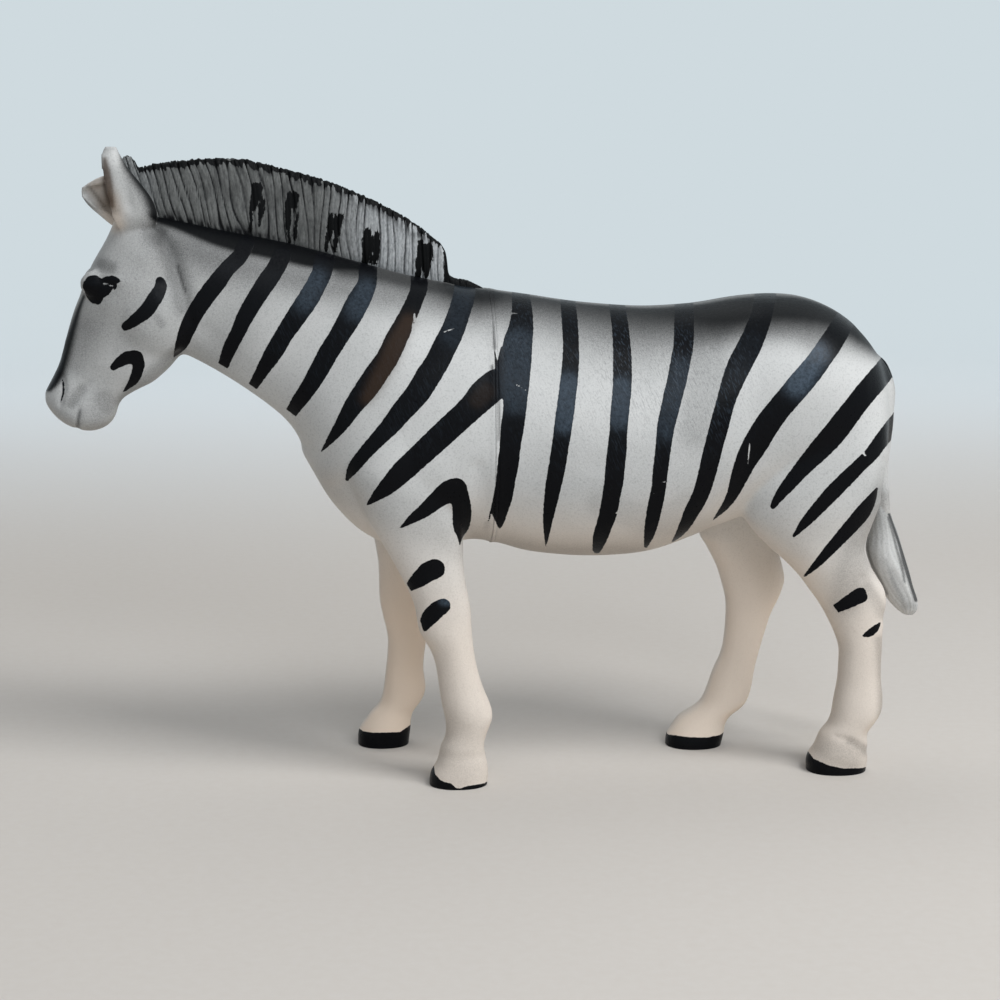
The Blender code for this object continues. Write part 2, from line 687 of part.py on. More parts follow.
# Girth bead: a thin proud ring of adhesive between the two shells
bead_start = GIRTH_X - BEAD_WIDTH / 2
bead_slab = region("bead_slab", bead_start, bead_start + BEAD_WIDTH, leg_top, sky, cutters)
core_rings = trunk_slice(collar_end, collar_back, COLLAR_RINGS, WALL)
bead_core = loft_cutter("bead_core", core_rings, cutters)
girth_bead = add_object("girth_bead", grown(form, "girth_bead", BEAD_RISE), parts, glue)
boolean(girth_bead, bead_slab, "INTERSECT")
boolean(girth_bead, bead_core, "DIFFERENCE")

# Mane: a grooved strip with its root in the crest
add_object("mane", new_mesh("mane", lambda bm: loft(bm, mane_sections())), parts, pvc_grey)

# Tail: lies in its seat on the rump, with a peg into the shell
tail_peg = add_cutter("tail_peg", peg_mesh("tail_peg"), cutters)
tail_mesh = new_mesh("tail", lambda bm: loft(bm, tail_sections()))
tail = add_object("tail", tail_mesh, parts, pvc_tail)
boolean(tail, tail_peg, "UNION")
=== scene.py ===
"""Looks of the standing toy zebra: moulded skin, painted stripes, grooved mane, tail and studio.

Metres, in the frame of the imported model: +X towards the tail, -Y the animal's left, Z up.
The skin is lofted from the same outline tables as the construction, much finer, then sculpted.
"""
import math

import bmesh
import bpy
import numpy as np
from mathutils import Matrix, Vector, noise


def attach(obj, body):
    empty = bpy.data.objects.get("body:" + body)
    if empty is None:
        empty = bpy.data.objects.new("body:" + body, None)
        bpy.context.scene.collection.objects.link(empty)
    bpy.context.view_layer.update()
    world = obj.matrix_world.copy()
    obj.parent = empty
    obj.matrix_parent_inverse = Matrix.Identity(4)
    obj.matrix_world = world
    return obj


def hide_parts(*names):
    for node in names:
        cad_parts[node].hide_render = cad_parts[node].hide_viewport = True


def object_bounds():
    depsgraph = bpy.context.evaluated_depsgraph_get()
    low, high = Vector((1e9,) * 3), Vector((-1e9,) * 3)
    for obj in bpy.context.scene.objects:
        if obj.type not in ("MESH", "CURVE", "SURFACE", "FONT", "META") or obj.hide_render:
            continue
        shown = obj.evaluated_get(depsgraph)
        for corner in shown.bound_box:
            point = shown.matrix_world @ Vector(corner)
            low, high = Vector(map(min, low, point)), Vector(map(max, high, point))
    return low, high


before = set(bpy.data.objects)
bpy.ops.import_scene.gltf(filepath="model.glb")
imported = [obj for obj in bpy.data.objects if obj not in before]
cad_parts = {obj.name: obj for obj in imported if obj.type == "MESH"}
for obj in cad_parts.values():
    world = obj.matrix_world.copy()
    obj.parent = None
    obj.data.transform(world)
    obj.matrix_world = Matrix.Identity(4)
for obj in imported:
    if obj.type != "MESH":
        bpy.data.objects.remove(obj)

bl_info = {
    "name": "Toy Zebra Looks",
    "version": (1, 0, 0),
    "blender": (4, 5, 0),
    "location": "View3D > Sidebar > Zebra",
    "description": "Builds the sculpted skin, paint and studio of a moulded toy zebra",
    "category": "Object",
}

CAD_LOW, CAD_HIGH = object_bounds()
MM = 0.001

# The photograph's camera: where it looks, how far off it is, and its lens on a 36 mm frame
PHOTO_SIZE = 1000
CAMERA_AZIMUTH = math.radians(-5.0)
CAMERA_ELEVATION = math.radians(10.5)
CAMERA_DISTANCE = 0.600
CAMERA_TARGET = Vector((0.00177, 0.0, 0.06511))
LENS_MM = 90.0
FILM_MM = 36.0

# Trunk, neck and head sizes
TRUNK_LENGTH = 0.1410
TRUNK_FRONT = -0.0460
BELLY_HEIGHT = 0.0512
TRUNK_DEPTH = 0.0603
BARREL_WIDTH = 0.0500
NECK_LENGTH = 0.0800
NECK_WIDTH = 0.0200
HEAD_LENGTH = 0.0500
HEAD_WIDTH = 0.0200
EYE_RADIUS = 0.0036
CHEEK_RADIUS = 0.0100

# Ear sizes
EAR_LENGTH = 0.0165
EAR_SPREAD = 0.0065
EAR_THICKNESS = 0.0060
EAR_WALL = 0.0012
EAR_OPENING = math.radians(84)
EAR_TIP_WALL_SHARE = 0.80

# Leg sizes, and where each hoof stands
HOOF_LENGTH = 0.0140
HOOF_WIDTH = 0.0120
NEAR_FORE_X, NEAR_FORE_Y = -0.0097, -0.0168
FAR_FORE_X, FAR_FORE_Y = -0.0260, 0.0195
NEAR_HIND_X, NEAR_HIND_Y = 0.0823, -0.0130
FAR_HIND_X, FAR_HIND_Y = 0.0514, 0.0120
FORE_ROOT_Y = 0.0135
HIND_ROOT_Y = 0.0122
SOLE_OVERRUN_SHARE = 0.25

# Mane and tail sizes
MANE_HEIGHT = 0.0165
MANE_THICKNESS = 0.0042
MANE_ROOT = 0.0010
MANE_LEAN = 0.29
MANE_DRIFT = 0.0035
MANE_EDGE_DEPTH = 1.5
MANE_END_SHARE = 0.136
TAIL_LENGTH = 0.0650
TAIL_WIDTH = 0.0080

# The glued seam round the girth
GIRTH_X = -0.0008
LIP_WIDTH = 0.0007
LIP_RISE = 0.00014
SEAM_TOLERANCE = 0.000002
BEAD_SIDES = 12
SEAM_FOOT = BELLY_HEIGHT * 0.9

# How square each ring is, and how much wider its lower end is
TRUNK_SQUARENESS = 2.15
NECK_SQUARENESS = 2.40
LIMB_SQUARENESS = 2.20
MANE_SQUARENESS = 3.20
NECK_EGG_SHARE = 0.12
MANE_EGG_SHARE = 0.16

# Places that follow from the sizes above
BACK_HEIGHT = BELLY_HEIGHT + TRUNK_DEPTH
POLL_PLACE_SHARES = (1.040, 0.288)
EYE_PLACE_SHARES = (0.163, -0.320)
EYE_SPREAD_SHARE = 0.28
EYE_SHAPE_SHARES = (1.00, 0.60, 0.85)
CHEEK_PLACE_SHARES = (-0.090, -0.470)
CHEEK_SPREAD_SHARE = 0.26
CHEEK_SHAPE_SHARES = (1.00, 0.50, 1.00)
DOCK_RISE_SHARE = 0.776
TAIL_ROOT_ROWS = 8
TAIL_TUFT_SHARES = (0.60, 0.50)
TAIL_BLEND_REACH = 0.0085
TAIL_BLEND_FOOT_SHARE = 0.49
TAIL_BLEND_PASSES = 60

# Trunk, chest to buttock: along, top, bottom, half width, egg
TRUNK_SHARES = (
    (0.004, 0.544, 0.444, 0.18, 0.00),
    (0.021, 0.677, 0.370, 0.40, 0.00),
    (0.057, 0.892, 0.229, 0.62, 0.00),
    (0.113, 1.041, 0.104, 0.77, 0.05),
    (0.184, 1.085, 0.048, 0.86, 0.10),
    (0.255, 1.090, 0.082, 0.90, 0.10),
    (0.319, 1.073, 0.076, 0.93, 0.12),
    (0.383, 1.050, 0.035, 0.97, 0.12),
    (0.454, 1.025, 0.015, 1.00, 0.12),
    (0.525, 1.007, 0.012, 1.00, 0.12),
    (0.596, 1.000, 0.031, 0.98, 0.10),
    (0.667, 1.010, 0.088, 0.95, 0.08),
    (0.738, 1.035, 0.150, 0.93, 0.04),
    (0.794, 1.045, 0.187, 0.94, 0.00),
    (0.851, 1.032, 0.204, 0.92, 0.00),
    (0.901, 0.987, 0.212, 0.87, 0.00),
    (0.943, 0.918, 0.229, 0.77, 0.00),
    (0.975, 0.831, 0.270, 0.62, 0.00),
    (0.992, 0.726, 0.362, 0.40, 0.00),
    (0.999, 0.627, 0.478, 0.16, 0.00),
)

# Neck, poll to withers: crest ahead and rise, throat ahead and rise, half width
NECK_SHARES = (
    (1.039, 0.281, 0.939, -0.106, 0.75),
    (0.951, 0.274, 0.857, -0.146, 0.82),
    (0.789, 0.239, 0.765, -0.201, 0.90),
    (0.614, 0.204, 0.664, -0.274, 1.05),
    (0.439, 0.157, 0.595, -0.336, 1.30),
    (0.264, 0.106, 0.550, -0.411, 1.65),
    (0.101, 0.070, 0.501, -0.519, 1.95),
    (-0.024, 0.019, 0.401, -0.594, 1.85),
)

# Head, poll to lip: front ahead and rise, jaw ahead and rise, half width, egg
HEAD_SHARES = (
    (0.050, 0.034, -0.200, -0.150, 0.65, 0.00),
    (0.105, -0.100, -0.250, -0.270, 0.84, -0.05),
    (0.190, -0.246, -0.254, -0.390, 0.94, -0.10),
    (0.236, -0.362, -0.244, -0.520, 0.92, 0.00),
    (0.280, -0.464, -0.206, -0.665, 0.82, 0.15),
    (0.320, -0.590, -0.096, -0.782, 0.68, 0.15),
    (0.352, -0.700, -0.002, -0.832, 0.58, 0.05),
    (0.392, -0.782, 0.072, -0.878, 0.58, 0.00),
    (0.426, -0.850, 0.098, -0.946, 0.66, 0.00),
    (0.414, -0.904, 0.132, -0.992, 0.67, 0.00),
    (0.366, -0.962, 0.184, -1.018, 0.55, 0.00),
    (0.316, -0.996, 0.232, -1.022, 0.28, 0.00),
)

# Legs, root to sole: height, offset from the hoof, depth, half width
NEAR_FORE_SHARES = (
    (1.950, -0.120, 1.00, 0.66),
    (1.750, -0.210, 1.50, 1.12),
    (1.523, -0.270, 1.80, 1.36),
    (1.309, -0.211, 1.64, 1.26),
    (1.117, -0.154, 1.31, 1.03),
    (1.004, -0.119, 1.12, 0.93),
    (0.910, -0.088, 1.00, 0.88),
    (0.826, -0.064, 0.94, 0.85),
    (0.721, -0.053, 0.89, 0.84),
    (0.629, -0.023, 0.74, 0.77),
    (0.551, -0.004, 0.70, 0.74),
    (0.445, 0.020, 0.76, 0.76),
    (0.363, 0.043, 0.83, 0.82),
    (0.307, 0.053, 0.81, 0.82),
    (0.234, 0.041, 0.70, 0.77),
    (0.178, 0.021, 0.74, 0.82),
    (0.102, 0.018, 0.86, 0.92),
    (0.055, 0.006, 0.99, 1.00),
    (0.000, 0.000, 0.98, 1.00),
)
FAR_FORE_SHARES = (
    (1.950, 0.190, 1.00, 0.66),
    (1.750, 0.100, 1.50, 1.12),
    (1.523, 0.045, 1.80, 1.36),
    (1.309, 0.088, 1.57, 1.26),
    (1.113, 0.111, 1.22, 1.03),
    (0.996, 0.113, 1.05, 0.93),
    (0.920, 0.111, 0.96, 0.88),
    (0.770, 0.109, 0.93, 0.85),
    (0.674, 0.113, 0.85, 0.84),
    (0.562, 0.119, 0.71, 0.77),
    (0.471, 0.113, 0.67, 0.74),
    (0.381, 0.105, 0.68, 0.76),
    (0.279, 0.105, 0.76, 0.82),
    (0.207, 0.080, 0.72, 0.80),
    (0.170, 0.047, 0.74, 0.80),
    (0.129, 0.027, 0.81, 0.87),
    (0.070, 0.006, 0.93, 0.97),
    (0.000, 0.000, 0.91, 1.00),
)
NEAR_HIND_SHARES = (
    (2.030, -0.100, 1.00, 0.70),
    (1.836, -0.080, 1.80, 1.25),
    (1.562, -0.095, 2.25, 1.63),
    (1.367, -0.133, 2.43, 1.70),
    (1.250, -0.146, 2.36, 1.63),
    (1.168, -0.143, 2.07, 1.50),
    (1.072, -0.113, 1.62, 1.33),
    (1.010, -0.070, 1.42, 1.22),
    (0.934, -0.012, 1.32, 1.10),
    (0.867, 0.033, 1.29, 1.02),
    (0.801, 0.063, 1.16, 0.95),
    (0.734, 0.078, 0.99, 0.90),
    (0.664, 0.092, 0.84, 0.85),
    (0.586, 0.104, 0.74, 0.82),
    (0.504, 0.102, 0.73, 0.81),
    (0.432, 0.102, 0.75, 0.82),
    (0.344, 0.100, 0.85, 0.88),
    (0.277, 0.092, 0.86, 0.91),
    (0.225, 0.068, 0.81, 0.87),
    (0.180, 0.031, 0.83, 0.87),
    (0.119, 0.021, 0.92, 0.95),
    (0.062, 0.004, 1.06, 1.03),
    (0.000, 0.000, 1.02, 1.03),
)
FAR_HIND_SHARES = (
    (2.030, 0.480, 1.00, 0.70),
    (1.836, 0.470, 1.80, 1.25),
    (1.562, 0.400, 2.25, 1.63),
    (1.367, 0.314, 2.21, 1.66),
    (1.211, 0.256, 1.86, 1.53),
    (1.062, 0.215, 1.49, 1.33),
    (0.988, 0.227, 1.28, 1.22),
    (0.889, 0.264, 1.18, 1.08),
    (0.814, 0.283, 1.14, 1.00),
    (0.729, 0.281, 0.96, 0.92),
    (0.654, 0.264, 0.81, 0.85),
    (0.549, 0.246, 0.71, 0.82),
    (0.455, 0.225, 0.68, 0.80),
    (0.365, 0.195, 0.75, 0.82),
    (0.285, 0.176, 0.80, 0.87),
    (0.215, 0.150, 0.83, 0.88),
    (0.176, 0.109, 0.88, 0.87),
    (0.146, 0.063, 0.89, 0.87),
    (0.104, 0.031, 0.93, 0.93),
    (0.047, 0.008, 1.03, 1.02),
    (0.000, 0.000, 0.99, 1.03),
)

# Ears, root to tip: fore edge ahead and rise, rear edge ahead and rise, sideways, half thickness
NEAR_EAR_SHARES = (
    (0.14, -0.34, -0.22, -0.34, 0.55, 0.75),
    (0.33, -0.08, -0.37, -0.10, 0.84, 0.90),
    (0.39, 0.18, -0.33, 0.15, 0.94, 0.95),
    (0.41, 0.42, -0.16, 0.41, 1.03, 0.84),
    (0.42, 0.64, 0.00, 0.62, 1.10, 0.68),
    (0.41, 0.82, 0.10, 0.80, 1.15, 0.52),
    (0.34, 0.95, 0.17, 0.95, 1.18, 0.30),
)
FAR_EAR_SHARES = (
    (-0.12, -0.10, 0.05, -0.40, 0.55, 0.75),
    (0.00, 0.22, 0.20, -0.28, 0.86, 0.90),
    (0.18, 0.46, 0.33, -0.21, 1.06, 0.86),
    (0.40, 0.48, 0.47, -0.10, 1.24, 0.72),
    (0.60, 0.39, 0.64, 0.05, 1.40, 0.54),
    (0.74, 0.30, 0.74, 0.18, 1.50, 0.30),
)

# Mane, forelock to withers: ahead, crest rise, height above the crest, thickness
MANE_SHARES = (
    (1.074, 0.292, 0.50, 0.40),
    (1.064, 0.297, 0.69, 0.62),
    (1.054, 0.299, 0.74, 0.80),
    (1.045, 0.297, 0.75, 0.86),
    (1.036, 0.294, 0.74, 0.90),
    (1.028, 0.292, 0.71, 0.92),
    (1.019, 0.289, 0.65, 0.94),
    (1.011, 0.286, 0.65, 0.96),
    (0.997, 0.283, 0.68, 0.98),
    (0.982, 0.279, 0.72, 1.00),
    (0.925, 0.268, 0.81, 1.00),
    (0.841, 0.249, 0.94, 1.00),
    (0.724, 0.223, 1.06, 1.00),
    (0.609, 0.201, 1.04, 1.00),
    (0.492, 0.171, 1.03, 1.00),
    (0.378, 0.138, 0.97, 1.00),
    (0.260, 0.105, 0.84, 1.00),
    (0.182, 0.085, 0.68, 0.96),
    (0.131, 0.074, 0.48, 0.86),
    (0.116, 0.070, 0.14, 0.80),
    (0.064, 0.063, 0.09, 0.70),
    (0.020, 0.055, 0.02, 0.50),
)

# Tail, dock to tip: outer edge back and down, inner edge back and down, half width
TAIL_SHARES = (
    (-0.025, -0.034, -0.074, 0.015, 0.40),
    (0.017, 0.009, -0.055, 0.068, 0.65),
    (0.048, 0.092, -0.031, 0.132, 0.78),
    (0.049, 0.185, -0.026, 0.200, 0.78),
    (0.040, 0.300, -0.029, 0.303, 0.73),
    (0.032, 0.414, -0.032, 0.414, 0.68),
    (0.028, 0.520, -0.032, 0.520, 0.65),
    (0.038, 0.592, -0.034, 0.592, 0.73),
    (0.060, 0.646, -0.043, 0.646, 0.85),
    (0.083, 0.715, -0.054, 0.715, 1.02),
    (0.106, 0.788, -0.032, 0.786, 1.07),
    (0.126, 0.854, 0.000, 0.851, 1.00),
    (0.146, 0.911, 0.032, 0.908, 0.83),
    (0.148, 0.948, 0.065, 0.945, 0.60),
    (0.132, 0.971, 0.095, 0.968, 0.28),
)

# Painted stripes, as brush strokes: pixel places in the photograph and half width in pixels
STRIPES_PX = {
    "neck_1": (
        (246, 244, 8), (240, 256, 8), (228, 268, 8), (218, 281, 9), (205, 298, 9), (194, 315, 8.5),
        (187, 330, 8), (182, 343, 6.5), (177, 352, 3), (174, 357, 0.5),
    ),
    "neck_2": (
        (282, 256, 9), (276, 268, 9), (268, 280, 9.5), (256, 298, 9), (246, 315, 8.5),
        (238, 332, 7.5), (230, 348, 7), (223, 366, 5.5), (219, 378, 5),
    ),
    "neck_3": (
        (325, 258, 10), (322, 272, 10), (316, 285, 10), (308, 299, 10.5), (296, 317, 10),
        (284, 335, 9), (274, 352, 9), (264, 368, 7), (253, 386, 5), (246, 396, 4.5),
    ),
    "neck_4": (
        (370, 252, 9), (368, 268, 9), (367, 284, 9.5), (358, 302, 11.5), (349, 319, 11),
        (339, 336, 10), (329, 352, 10), (319, 370, 9.5), (309, 387, 8.5), (299, 401, 7.5),
        (291, 413, 6), (284, 424, 5),
    ),
    "neck_5": (
        (420, 262, 8.5), (419, 274, 8.5), (419, 288, 8.5), (414, 302, 8.5), (406, 320, 9.5),
        (396, 340, 11), (388, 357, 11), (377, 373, 11.5), (367, 388, 11.5), (354, 405, 9.5),
        (342, 424, 7), (331, 439, 4), (321, 452, 0.5),
    ),
    "neck_6": (
        (465, 268, 10.5), (465, 282, 10.5), (464, 296, 11), (459, 313, 11), (453, 330, 11.5),
        (445, 346, 12), (437, 362, 12), (427, 378, 12.5), (417, 394, 12), (404, 409, 11),
        (391, 425, 9.5), (378, 439, 8), (365, 453, 7), (354, 467, 6), (347, 479, 2),
    ),
    "neck_7": (
        (496, 384, 15), (484, 394, 15), (472, 407, 13), (458, 420, 12.5), (445, 432, 12.5),
        (430, 446, 12), (416, 459, 11.5), (402, 472, 11), (390, 484, 9), (379, 494, 6),
        (368, 504, 1.5),
    ),
    "shoulder_fore_arm": (
        (400, 528, 0.5), (412, 519, 4.5), (425, 510, 7), (438, 499, 9), (448, 492, 11),
        (456, 489, 11),
    ),
    "shoulder_rear_arm": (
        (456, 489, 11), (461, 503, 9.5), (462, 516, 9.5), (461, 526, 8), (460, 535, 3.5),
        (460, 545, 0.3),
    ),
    "forearm_1": ((410, 586.5, 4.8), (420, 578.5, 8.5), (428, 572, 10), (435, 569, 10)),
    "forearm_2": ((424, 627, 4.5), (429, 618, 8), (437, 610, 8.5), (443, 606, 7.5)),
    "barrel_1": (
        (521, 282, 9), (521, 296, 9), (522, 312, 10.5), (521, 328, 12.5), (518, 343, 14.5),
        (516, 360, 15.5), (516, 378, 14), (515.5, 395, 12.5), (514.5, 412, 11.5), (512, 430, 11.5),
        (510, 448, 10.5), (508, 465, 10.5), (505.5, 482, 9.5), (503, 497, 9.5), (500, 512, 7.5),
        (500, 522, 4), (500, 529, 0.5),
    ),
    "barrel_1_bridge": ((504, 350, 4), (502, 366, 5), (501.5, 392, 4)),
    # Painted shadow in the crack of the girth seam, laid as black paint
    "seam_crack": ((494.6, 350, 0.2), (496.2, 362, 1.3), (497.6, 380, 1.5), (498.6, 397, 0.6)),
    "barrel_1_spur": ((497, 495, 3), (488, 522, 0.5)),
    "barrel_2": (
        (567, 288, 7.5), (568, 302, 7.5), (570, 325, 8), (571, 345, 8), (570.5, 365, 8.5),
        (568.5, 385, 8.8), (566.5, 402, 9), (564, 420, 9), (561.5, 438, 8.7), (559, 455, 8.5),
        (556.5, 470, 8.5), (553.5, 485, 8), (551, 500, 7), (548.5, 515, 5.5), (547, 530, 3.5),
        (546, 546, 0.6),
    ),
    "barrel_3": (
        (615, 290, 8), (617, 305, 8), (620, 325, 8.3), (622, 348, 9), (622.5, 370, 9.5),
        (622, 390, 9.3), (620, 410, 9.3), (618.5, 430, 9), (617.2, 448, 9.6), (615.4, 465, 9.8),
        (613.8, 482, 9.6), (611, 498, 9), (608.5, 512, 9), (604, 526, 8), (600, 538, 7.3),
        (597, 549, 4.5),
    ),
    "barrel_4": (
        (684, 294, 9.5), (684, 310, 9.5), (684, 328, 10), (683.5, 345, 10), (680.5, 362, 10),
        (677, 380, 9.8), (673, 396, 9.6), (669.5, 411, 9.3), (666, 426, 8.8), (664, 442, 8),
        (662, 458, 7.7), (660, 474, 7.5), (658.5, 489, 7.3), (655.5, 504, 7.5), (652.5, 519, 7),
        (649.5, 533, 5.5), (646, 546, 2),
    ),
    "barrel_5": (
        (766, 292, 10.5), (763, 308, 10.5), (760, 320, 11), (754, 336, 11.5), (747, 351, 12),
        (740, 364, 12), (734, 378, 11.2), (728.5, 393, 9.8), (724, 408, 9.3), (720, 423, 9.5),
        (716, 438, 9.3), (712, 453, 9.2), (708.5, 468, 9), (704.5, 483, 8.6), (699, 498, 8.2),
        (692, 511, 7.5), (685.5, 524, 6), (679, 534, 3.5), (672, 542, 0.5),
    ),
    "rump_1": (
        (855, 306, 10), (845, 320, 10), (838, 332, 11), (829, 346, 11.5), (820, 359, 11.5),
        (811, 371, 12), (800, 384, 12.5), (789, 397, 12), (778, 410, 12), (767, 425, 12.5),
        (759, 438, 12.5), (752, 450, 12), (746, 461, 10.5), (740.5, 474, 9), (735.5, 487, 7),
        (730, 499, 5), (722, 510, 3), (713, 520, 0.4),
    ),
    "rump_2": (
        (904, 346, 10), (892, 360, 10), (884, 371, 10.5), (874, 383, 11), (863, 396, 11),
        (853, 409, 11), (843, 422, 11.5), (833, 435, 11.5), (822, 447, 11), (811, 459, 9.5),
        (800, 471, 8), (790, 483, 7), (781, 494, 5.5), (773, 506, 3),
    ),
    "rump_3": (
        (912, 403, 8.5), (903, 414, 8.3), (894, 425, 8), (885.5, 435, 7.6), (878, 445, 7.3),
        (870.6, 455, 7), (858, 467, 7), (845, 480, 7.6), (832, 493, 7.6), (822, 504, 7), (812, 515, 6),
        (803, 525, 4.5), (794, 536, 1.5),
    ),
    "thigh": (
        (877, 488, 1), (871, 500, 5), (863, 512, 7.5), (854, 523, 7.3), (845, 533, 6.8),
        (835, 544, 6), (825, 555, 5), (815, 566, 3.5), (804.5, 576, 1),
    ),
    "gaskin_1": ((836, 608.6, 4.6), (850, 601, 6.8), (860.4, 595.2, 7.8)),
    "gaskin_2": ((863, 636, 1), (869, 633.5, 3.5), (875, 629, 3.5), (880, 623, 1)),
    "cheek": (
        (160, 281, 4.5), (161, 286, 6), (158, 293, 7), (153, 301, 7.5), (147, 310, 7.5), (139, 317, 6.5),
        (131, 323, 5.5), (125.5, 326.5, 4.2),
    ),
    "jaw_hook_fore": ((113.5, 367, 3.5), (119, 362.5, 5), (127, 358, 6.5), (135, 357, 7)),
    "jaw_hook_rear": (
        (136, 357.5, 7), (138.5, 364, 6.3), (136.5, 374, 5.5), (133, 381, 4.5), (127, 388, 2),
        (123, 392, 0.3),
    ),
    "eye": ((91, 286, 8.3), (93.5, 283.8, 8.8), (95.5, 289, 10), (96, 296, 7.8)),
    "eye_under": ((90, 293, 5), (94, 298, 5.2), (97.5, 300, 4.6)),
    "eye_corner": (
        (99, 281.8, 4.4), (102, 282.4, 3.5), (106, 280, 3.4), (112.5, 279.4, 3.8), (116.5, 280.6, 3),
        (120.5, 280.6, 0.8),
    ),
    "eye_lower": ((98, 293, 7), (104, 290, 6.5), (109, 287, 4.5), (112.5, 285.5, 4.6), (113.5, 288, 2.6)),
    "nose": ((67, 350, 0.5), (61.5, 362, 3), (56.5, 373, 4.5), (51, 382, 4), (47, 389.5, 1.5)),
    "nose_finger": ((58, 376, 0.9), (56, 382, 0.8), (55, 388, 0.3)),
    "nostril": ((61.5, 377, 0.5), (63.3, 384, 1), (63.6, 391, 1.1), (62.2, 398, 0.9), (60.2, 404.5, 0.3)),
}

# The eyes' paint stays off the bridge of the nose, in front of and above this place
EYE_CORNER_PX = (100, 315)
NOSE_BRIDGE_HALF = 0.0033

# Strokes that end in a straight edge: two places along each edge, with the paint on its left
STRIPE_CUTS_PX = {
    "neck_2": (((218, 363), (228, 369)),),
    "neck_3": (((249, 384), (256, 389)),),
    "neck_4": (((286, 409), (296, 417)),),
    "forearm_1": (((405.6, 582), (411.5, 592)),),
    "forearm_2": (((419.5, 619), (424.5, 635)),),
    "gaskin_1": (((832.3, 605), (838.8, 613)), ((868, 597), (864.2, 586.5))),
    "gaskin_2": (((881, 622), (862, 627.5)),),
}

# Bare spots and scratches in the paint, and painted highlights on the eye, on the near side only
SCRATCHES_AND_EYE_GLINTS_PX = (
    ((444, 332, 0.6), (455.5, 328, 0.4)),
    ((516.7, 385, 0.5), (526, 390, 0.6)),
    ((511, 313.4, 0.4), (517, 313.4, 0.4)),
    ((750, 443, 0.7), (747.5, 464, 0.6)),
    ((660, 480.5, 0.5), (665, 482.5, 0.4)),
    ((655, 485, 0.3), (654, 495, 0.3)),
    ((861.8, 450.6, 0.4), (863.4, 453, 0.8), (865.6, 456, 0.7)),
    # Next four: painted highlights on the eye
    ((103.2, 284, 1.0), (108.4, 284.2, 0.9)),
    ((108.4, 284.2, 0.6), (112.6, 286.2, 0.9)),
    ((113.4, 287.6, 0.3), (113, 289.6, 0.7)),
    ((93.4, 298.6, 0.4), (93.8, 299.4, 0.4)),
    ((414.5, 314, 0.9), (412.5, 331, 1.0)),
    ((442, 614.5, 0.5), (443, 615, 0.5)),
    ((756, 438.5, 0.4), (757, 439.5, 0.4)),
    ((615, 512, 0.6), (616, 513, 0.4)),
    ((68, 375, 1.0), (68.5, 378, 0.7)),
)
